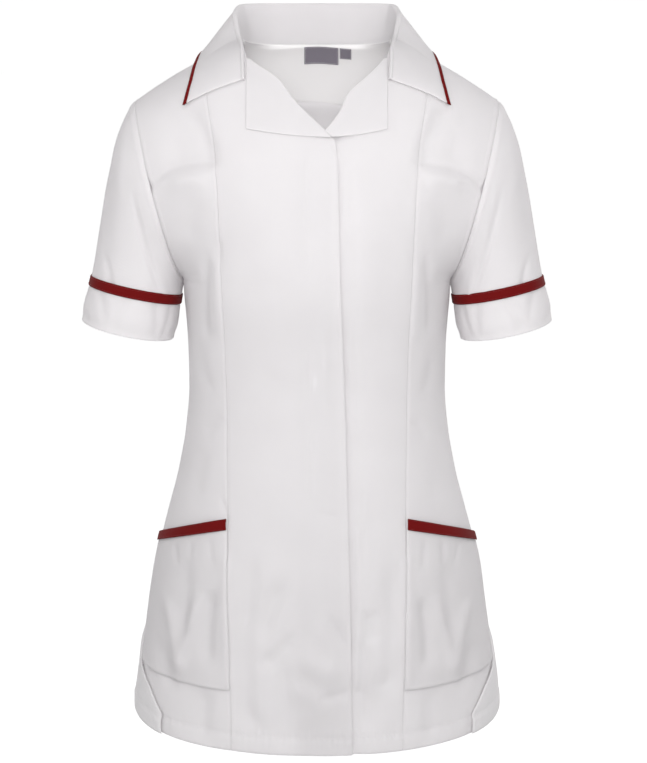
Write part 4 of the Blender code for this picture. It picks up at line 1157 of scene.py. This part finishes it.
def build_lapels():
    for side, name, ends in ((-1, "lapel_right", RIGHT_LAPEL_ROLL), (1, "lapel_left", LEFT_LAPEL_ROLL)):
        row, around, across, share = lapel_grid(*ends)
        points, normals = sample(row, around)
        width = np.linalg.norm(points[:, -1] - points[:, 0], axis=1)[:, None]
        from_roll = across * width
        lift = LAYER + 0.0014 * bell(from_roll, 0.012)
        lift = lift + front_relief(mirrored(points) if side < 0 else points)
        sheet = raised(points, normals, lift)
        inward = unit(points[:, 0] - points[:, 1])
        top = sheet[:, 0]
        radius = ROLL_RADIUS * smooth(np.linspace(0.0, 1.0, 70) * 6 + 0.25)[:, None]
        turns = np.linspace(np.pi, 0, 9)[:-1]
        centre = top - normals[:, 0] * radius
        roll = (centre[:, None] + inward[:, None] * radius[:, None] * np.sin(turns)[None, :, None]
                + normals[:, :1] * radius[:, None] * np.cos(turns)[None, :, None])
        below = points[:, 1:9][:, ::-1] + normals[:, 1:9][:, ::-1] * (
            lift[:, :1, None] - 2 * radius[:, None])
        grid = np.concatenate((below, roll, sheet), axis=1)
        if side < 0:
            grid = mirrored(grid)[:, ::-1]
        thing = dress(name, grid[::-1], WHITE, TAPE)


# --- Pockets and labels ---

def pocket_grid(downs, columns, margin):
    across = spread(columns)[None, :]
    top = mix(POCKET_TOP_IN, POCKET_TOP_OUT, across)
    row = row_at(mix(top, POCKET_BOTTOM, downs[:, None]))
    inner = np.stack([share_on_line(row[:, j], PRINCESS, margin) for j in range(row.shape[1])], axis=1)
    outer = side_seam(row) - SEAM_SHARE
    return row, mix(inner, outer, across)


POCKET_STITCH, MOUTH_FULL = 0.0022, 0.0012


def build_pockets():
    depth = POCKET_TOP_IN - POCKET_BOTTOM
    trim_share = TRIM_WIDTH / depth
    for side, name, flip, order in SIDES:
        row, around = pocket_grid(np.linspace(1.0, 0.0, 66), 50, SEAM)
        points, normals = (flip(value) for value in sample(row, around))
        near, far = edge_distances(points)
        low = row_distances(points[::-1])[::-1]
        edge = np.minimum(np.minimum(near, far), low)
        mouth = row_distances(points)
        lift = (LAYER + front_relief(points) - 0.001 * bell(edge, 0.0012)
                - 0.0003 * bell(edge - POCKET_STITCH, 0.0008)
                + MOUTH_FULL * bell(mouth, 0.035) * smooth(edge / 0.02))
        grid = raised(points, normals, lift)[:, order]
        pocket = dress(f"pocket_{name}", grid, WHITE)
        low = row_distances(grid[::-1])[::-1]
        thread = stitches(f"pocket_{name}_stitches", [
            line_beside(grid, near[:, order], POCKET_STITCH),
            line_beside(grid, far[:, order], POCKET_STITCH),
            line_above(grid[::-1], low[::-1], POCKET_STITCH)], THREAD)
        downs = mix(-0.1, 1.0, np.linspace(1, 0, 11)) * trim_share
        row, around = pocket_grid(downs, 50, SEAM)
        points, normals = (flip(value) for value in sample(row, around))
        crown = 0.0004 * np.sqrt(np.clip(1 - (np.linspace(-1, 1, 11)[:, None]) ** 2, 0, 1))
        near, far = edge_distances(points)
        lift = (TRIM_LAYER + front_relief(points) + crown
                + MOUTH_FULL * smooth(np.minimum(near, far) / 0.02))
        grid = raised(points, normals, lift)[:, order]
        tape = band(f"pocket_trim_{name}", grid, RED, TAPE)
        thread = stitches(f"pocket_trim_{name}_stitches", long_edges(grid), RED_THREAD)


def neck_row(across):
    share = share_at(False, np.full_like(across, 2.0), np.minimum(np.abs(across), NECK_SIDE))
    share = share / NECK_SHARE
    return 2.0 - (1.0 - BACK_NECK_ROW) * np.sqrt(np.maximum(0.0, 1.0 - share * share))


def build_labels():
    for name, (left, right, drop) in (("neck_label", LABEL), ("size_tab", SIZE_TAB)):
        across = np.linspace(left, right, 40)[None, :] + np.zeros((24, 1))
        down = np.linspace(drop / LABEL_ROW_HEIGHT, 0, 24)[:, None]
        row = neck_row(across) - 0.002 - down
        share = share_at(False, row, np.abs(across))
        points, normals = sample(row, np.copysign(2.0 - share, across))
        lift = -0.0030 + 0 * across
        grid = raised(points, normals, lift)
        thing = band(name, grid, GREY, LABEL_TAPE)
        out = normals_of(grid)
        ends = [(grid[:, k], out[:, k]) for k in (1, grid.shape[1] - 2)]
        thread = stitches(name + "_stitches", long_edges(grid) + ends, THREAD)


# --- Floor and light ---

FLOOR_LEVEL, FLOOR_SIZE = -1.25, 400.0
FLOOR_GLOW = 0.76              # a lit studio floor, pale from every side
SHADOW_POOL, SHADOW_POOL_GLOW = (0.8, 1.9), 0.18   # painted shadow: the floor glows less in a pool round the garment; the glow starts to rise at this distance and is full at that
HORIZON, ZENITH, WINGS = 1.01, 0.44, 1.12   # brightness at eye level, overhead, at the sides


def ramp(tree, source, near, far, low, high):
    """Smooth step from one value to another."""
    return add_node(tree, "MapRange", {"Value": source, "From Min": near, "From Max": far,
                                       "To Min": low, "To Max": high},
                    interpolation_type="SMOOTHSTEP").outputs["Result"]


def build_floor():
    material, tree, surface = new_material("floor", (0.50, 0.50, 0.50), 0.9)
    surface.inputs["Emission Color"].default_value = (1.0, 1.0, 1.0, 1.0)
    place = add_node(tree, "TexCoord", {}).outputs["Object"]
    away = add_node(tree, "VectorMath", {0: place}, operation="LENGTH").outputs["Value"]
    # painted shadow: a dimmer pool of glow on the floor round the garment
    tree.links.new(ramp(tree, away, *SHADOW_POOL, SHADOW_POOL_GLOW, FLOOR_GLOW),
                   surface.inputs["Emission Strength"])
    corners = [(x * FLOOR_SIZE, y * FLOOR_SIZE, 0.0)
               for x, y in ((-1, -1), (1, -1), (1, 1), (-1, 1))]
    floor = mesh_object("floor", np.array(corners), [(0, 1, 2, 3)], material)
    floor.location = (0.0, 0.0, FLOOR_LEVEL)


def build_world():
    world = bpy.data.worlds.new("studio")
    world.use_nodes = True
    tree = world.node_tree
    place = add_node(tree, "TexCoord", {}).outputs["Generated"]
    way = add_node(tree, "SeparateXYZ", {"Vector": place}).outputs
    level = ramp(tree, way["Z"], 0.07, 0.36, HORIZON, ZENITH)
    sideways = add_node(tree, "Math", {0: way["X"]}, operation="ABSOLUTE").outputs[0]
    wings = ramp(tree, sideways, 0.20, 0.90, 1.0, WINGS)
    both = add_node(tree, "Math", {0: level, 1: wings}, operation="MULTIPLY").outputs[0]
    tree.links.new(both, tree.nodes["Background"].inputs["Strength"])
    tree.nodes["Background"].inputs["Color"].default_value = (1.0, 1.0, 1.0, 1.0)
    bpy.context.scene.world = world


# Name, place, the point that it is turned to, size and power
LIGHTS = (
    ("front", (0.0, -1.3, 0.12), (0.0, 0.0, -0.06), 0.4, 9.7),
    ("right", (-0.6, -1.7, 1.5), (0.0, 0.0, -0.15), 0.8, 9.0),
    ("left", (0.7, -1.7, 1.4), (0.0, 0.0, -0.15), 0.8, 7.0),
    ("top", (0.0, -0.5, 1.7), (0.0, 0.0, -0.1), 1.0, 2.2),
    ("rear_left", (1.8, 1.7, 1.0), (0.0, 0.0, -0.25), 0.6, 22.0),
    ("rear_right", (-1.5, 2.0, 0.6), (0.0, 0.0, -0.25), 1.0, 8.0),
)


def build_lights():
    for name, place, aim, size, power in LIGHTS:
        data = bpy.data.lights.new(name, "AREA")
        data.size = size
        data.energy = power
        light = bpy.data.objects.new(name, data)
        light.location = place
        light.rotation_euler = (Vector(aim) - Vector(place)).to_track_quat("-Z", "Y").to_euler()
        bpy.context.scene.collection.objects.link(light)
    bpy.context.scene.view_settings.view_transform = "Standard"


build_fronts()
build_side_fronts()
build_back()
build_facing()
build_sleeves()
build_collar()
build_lapels()
build_pockets()
build_labels()
build_floor()
build_world()
build_lights()

for zip_slot in frame["nodes"]["front_zip"].material_slots:
    zip_slot.material = ZIP
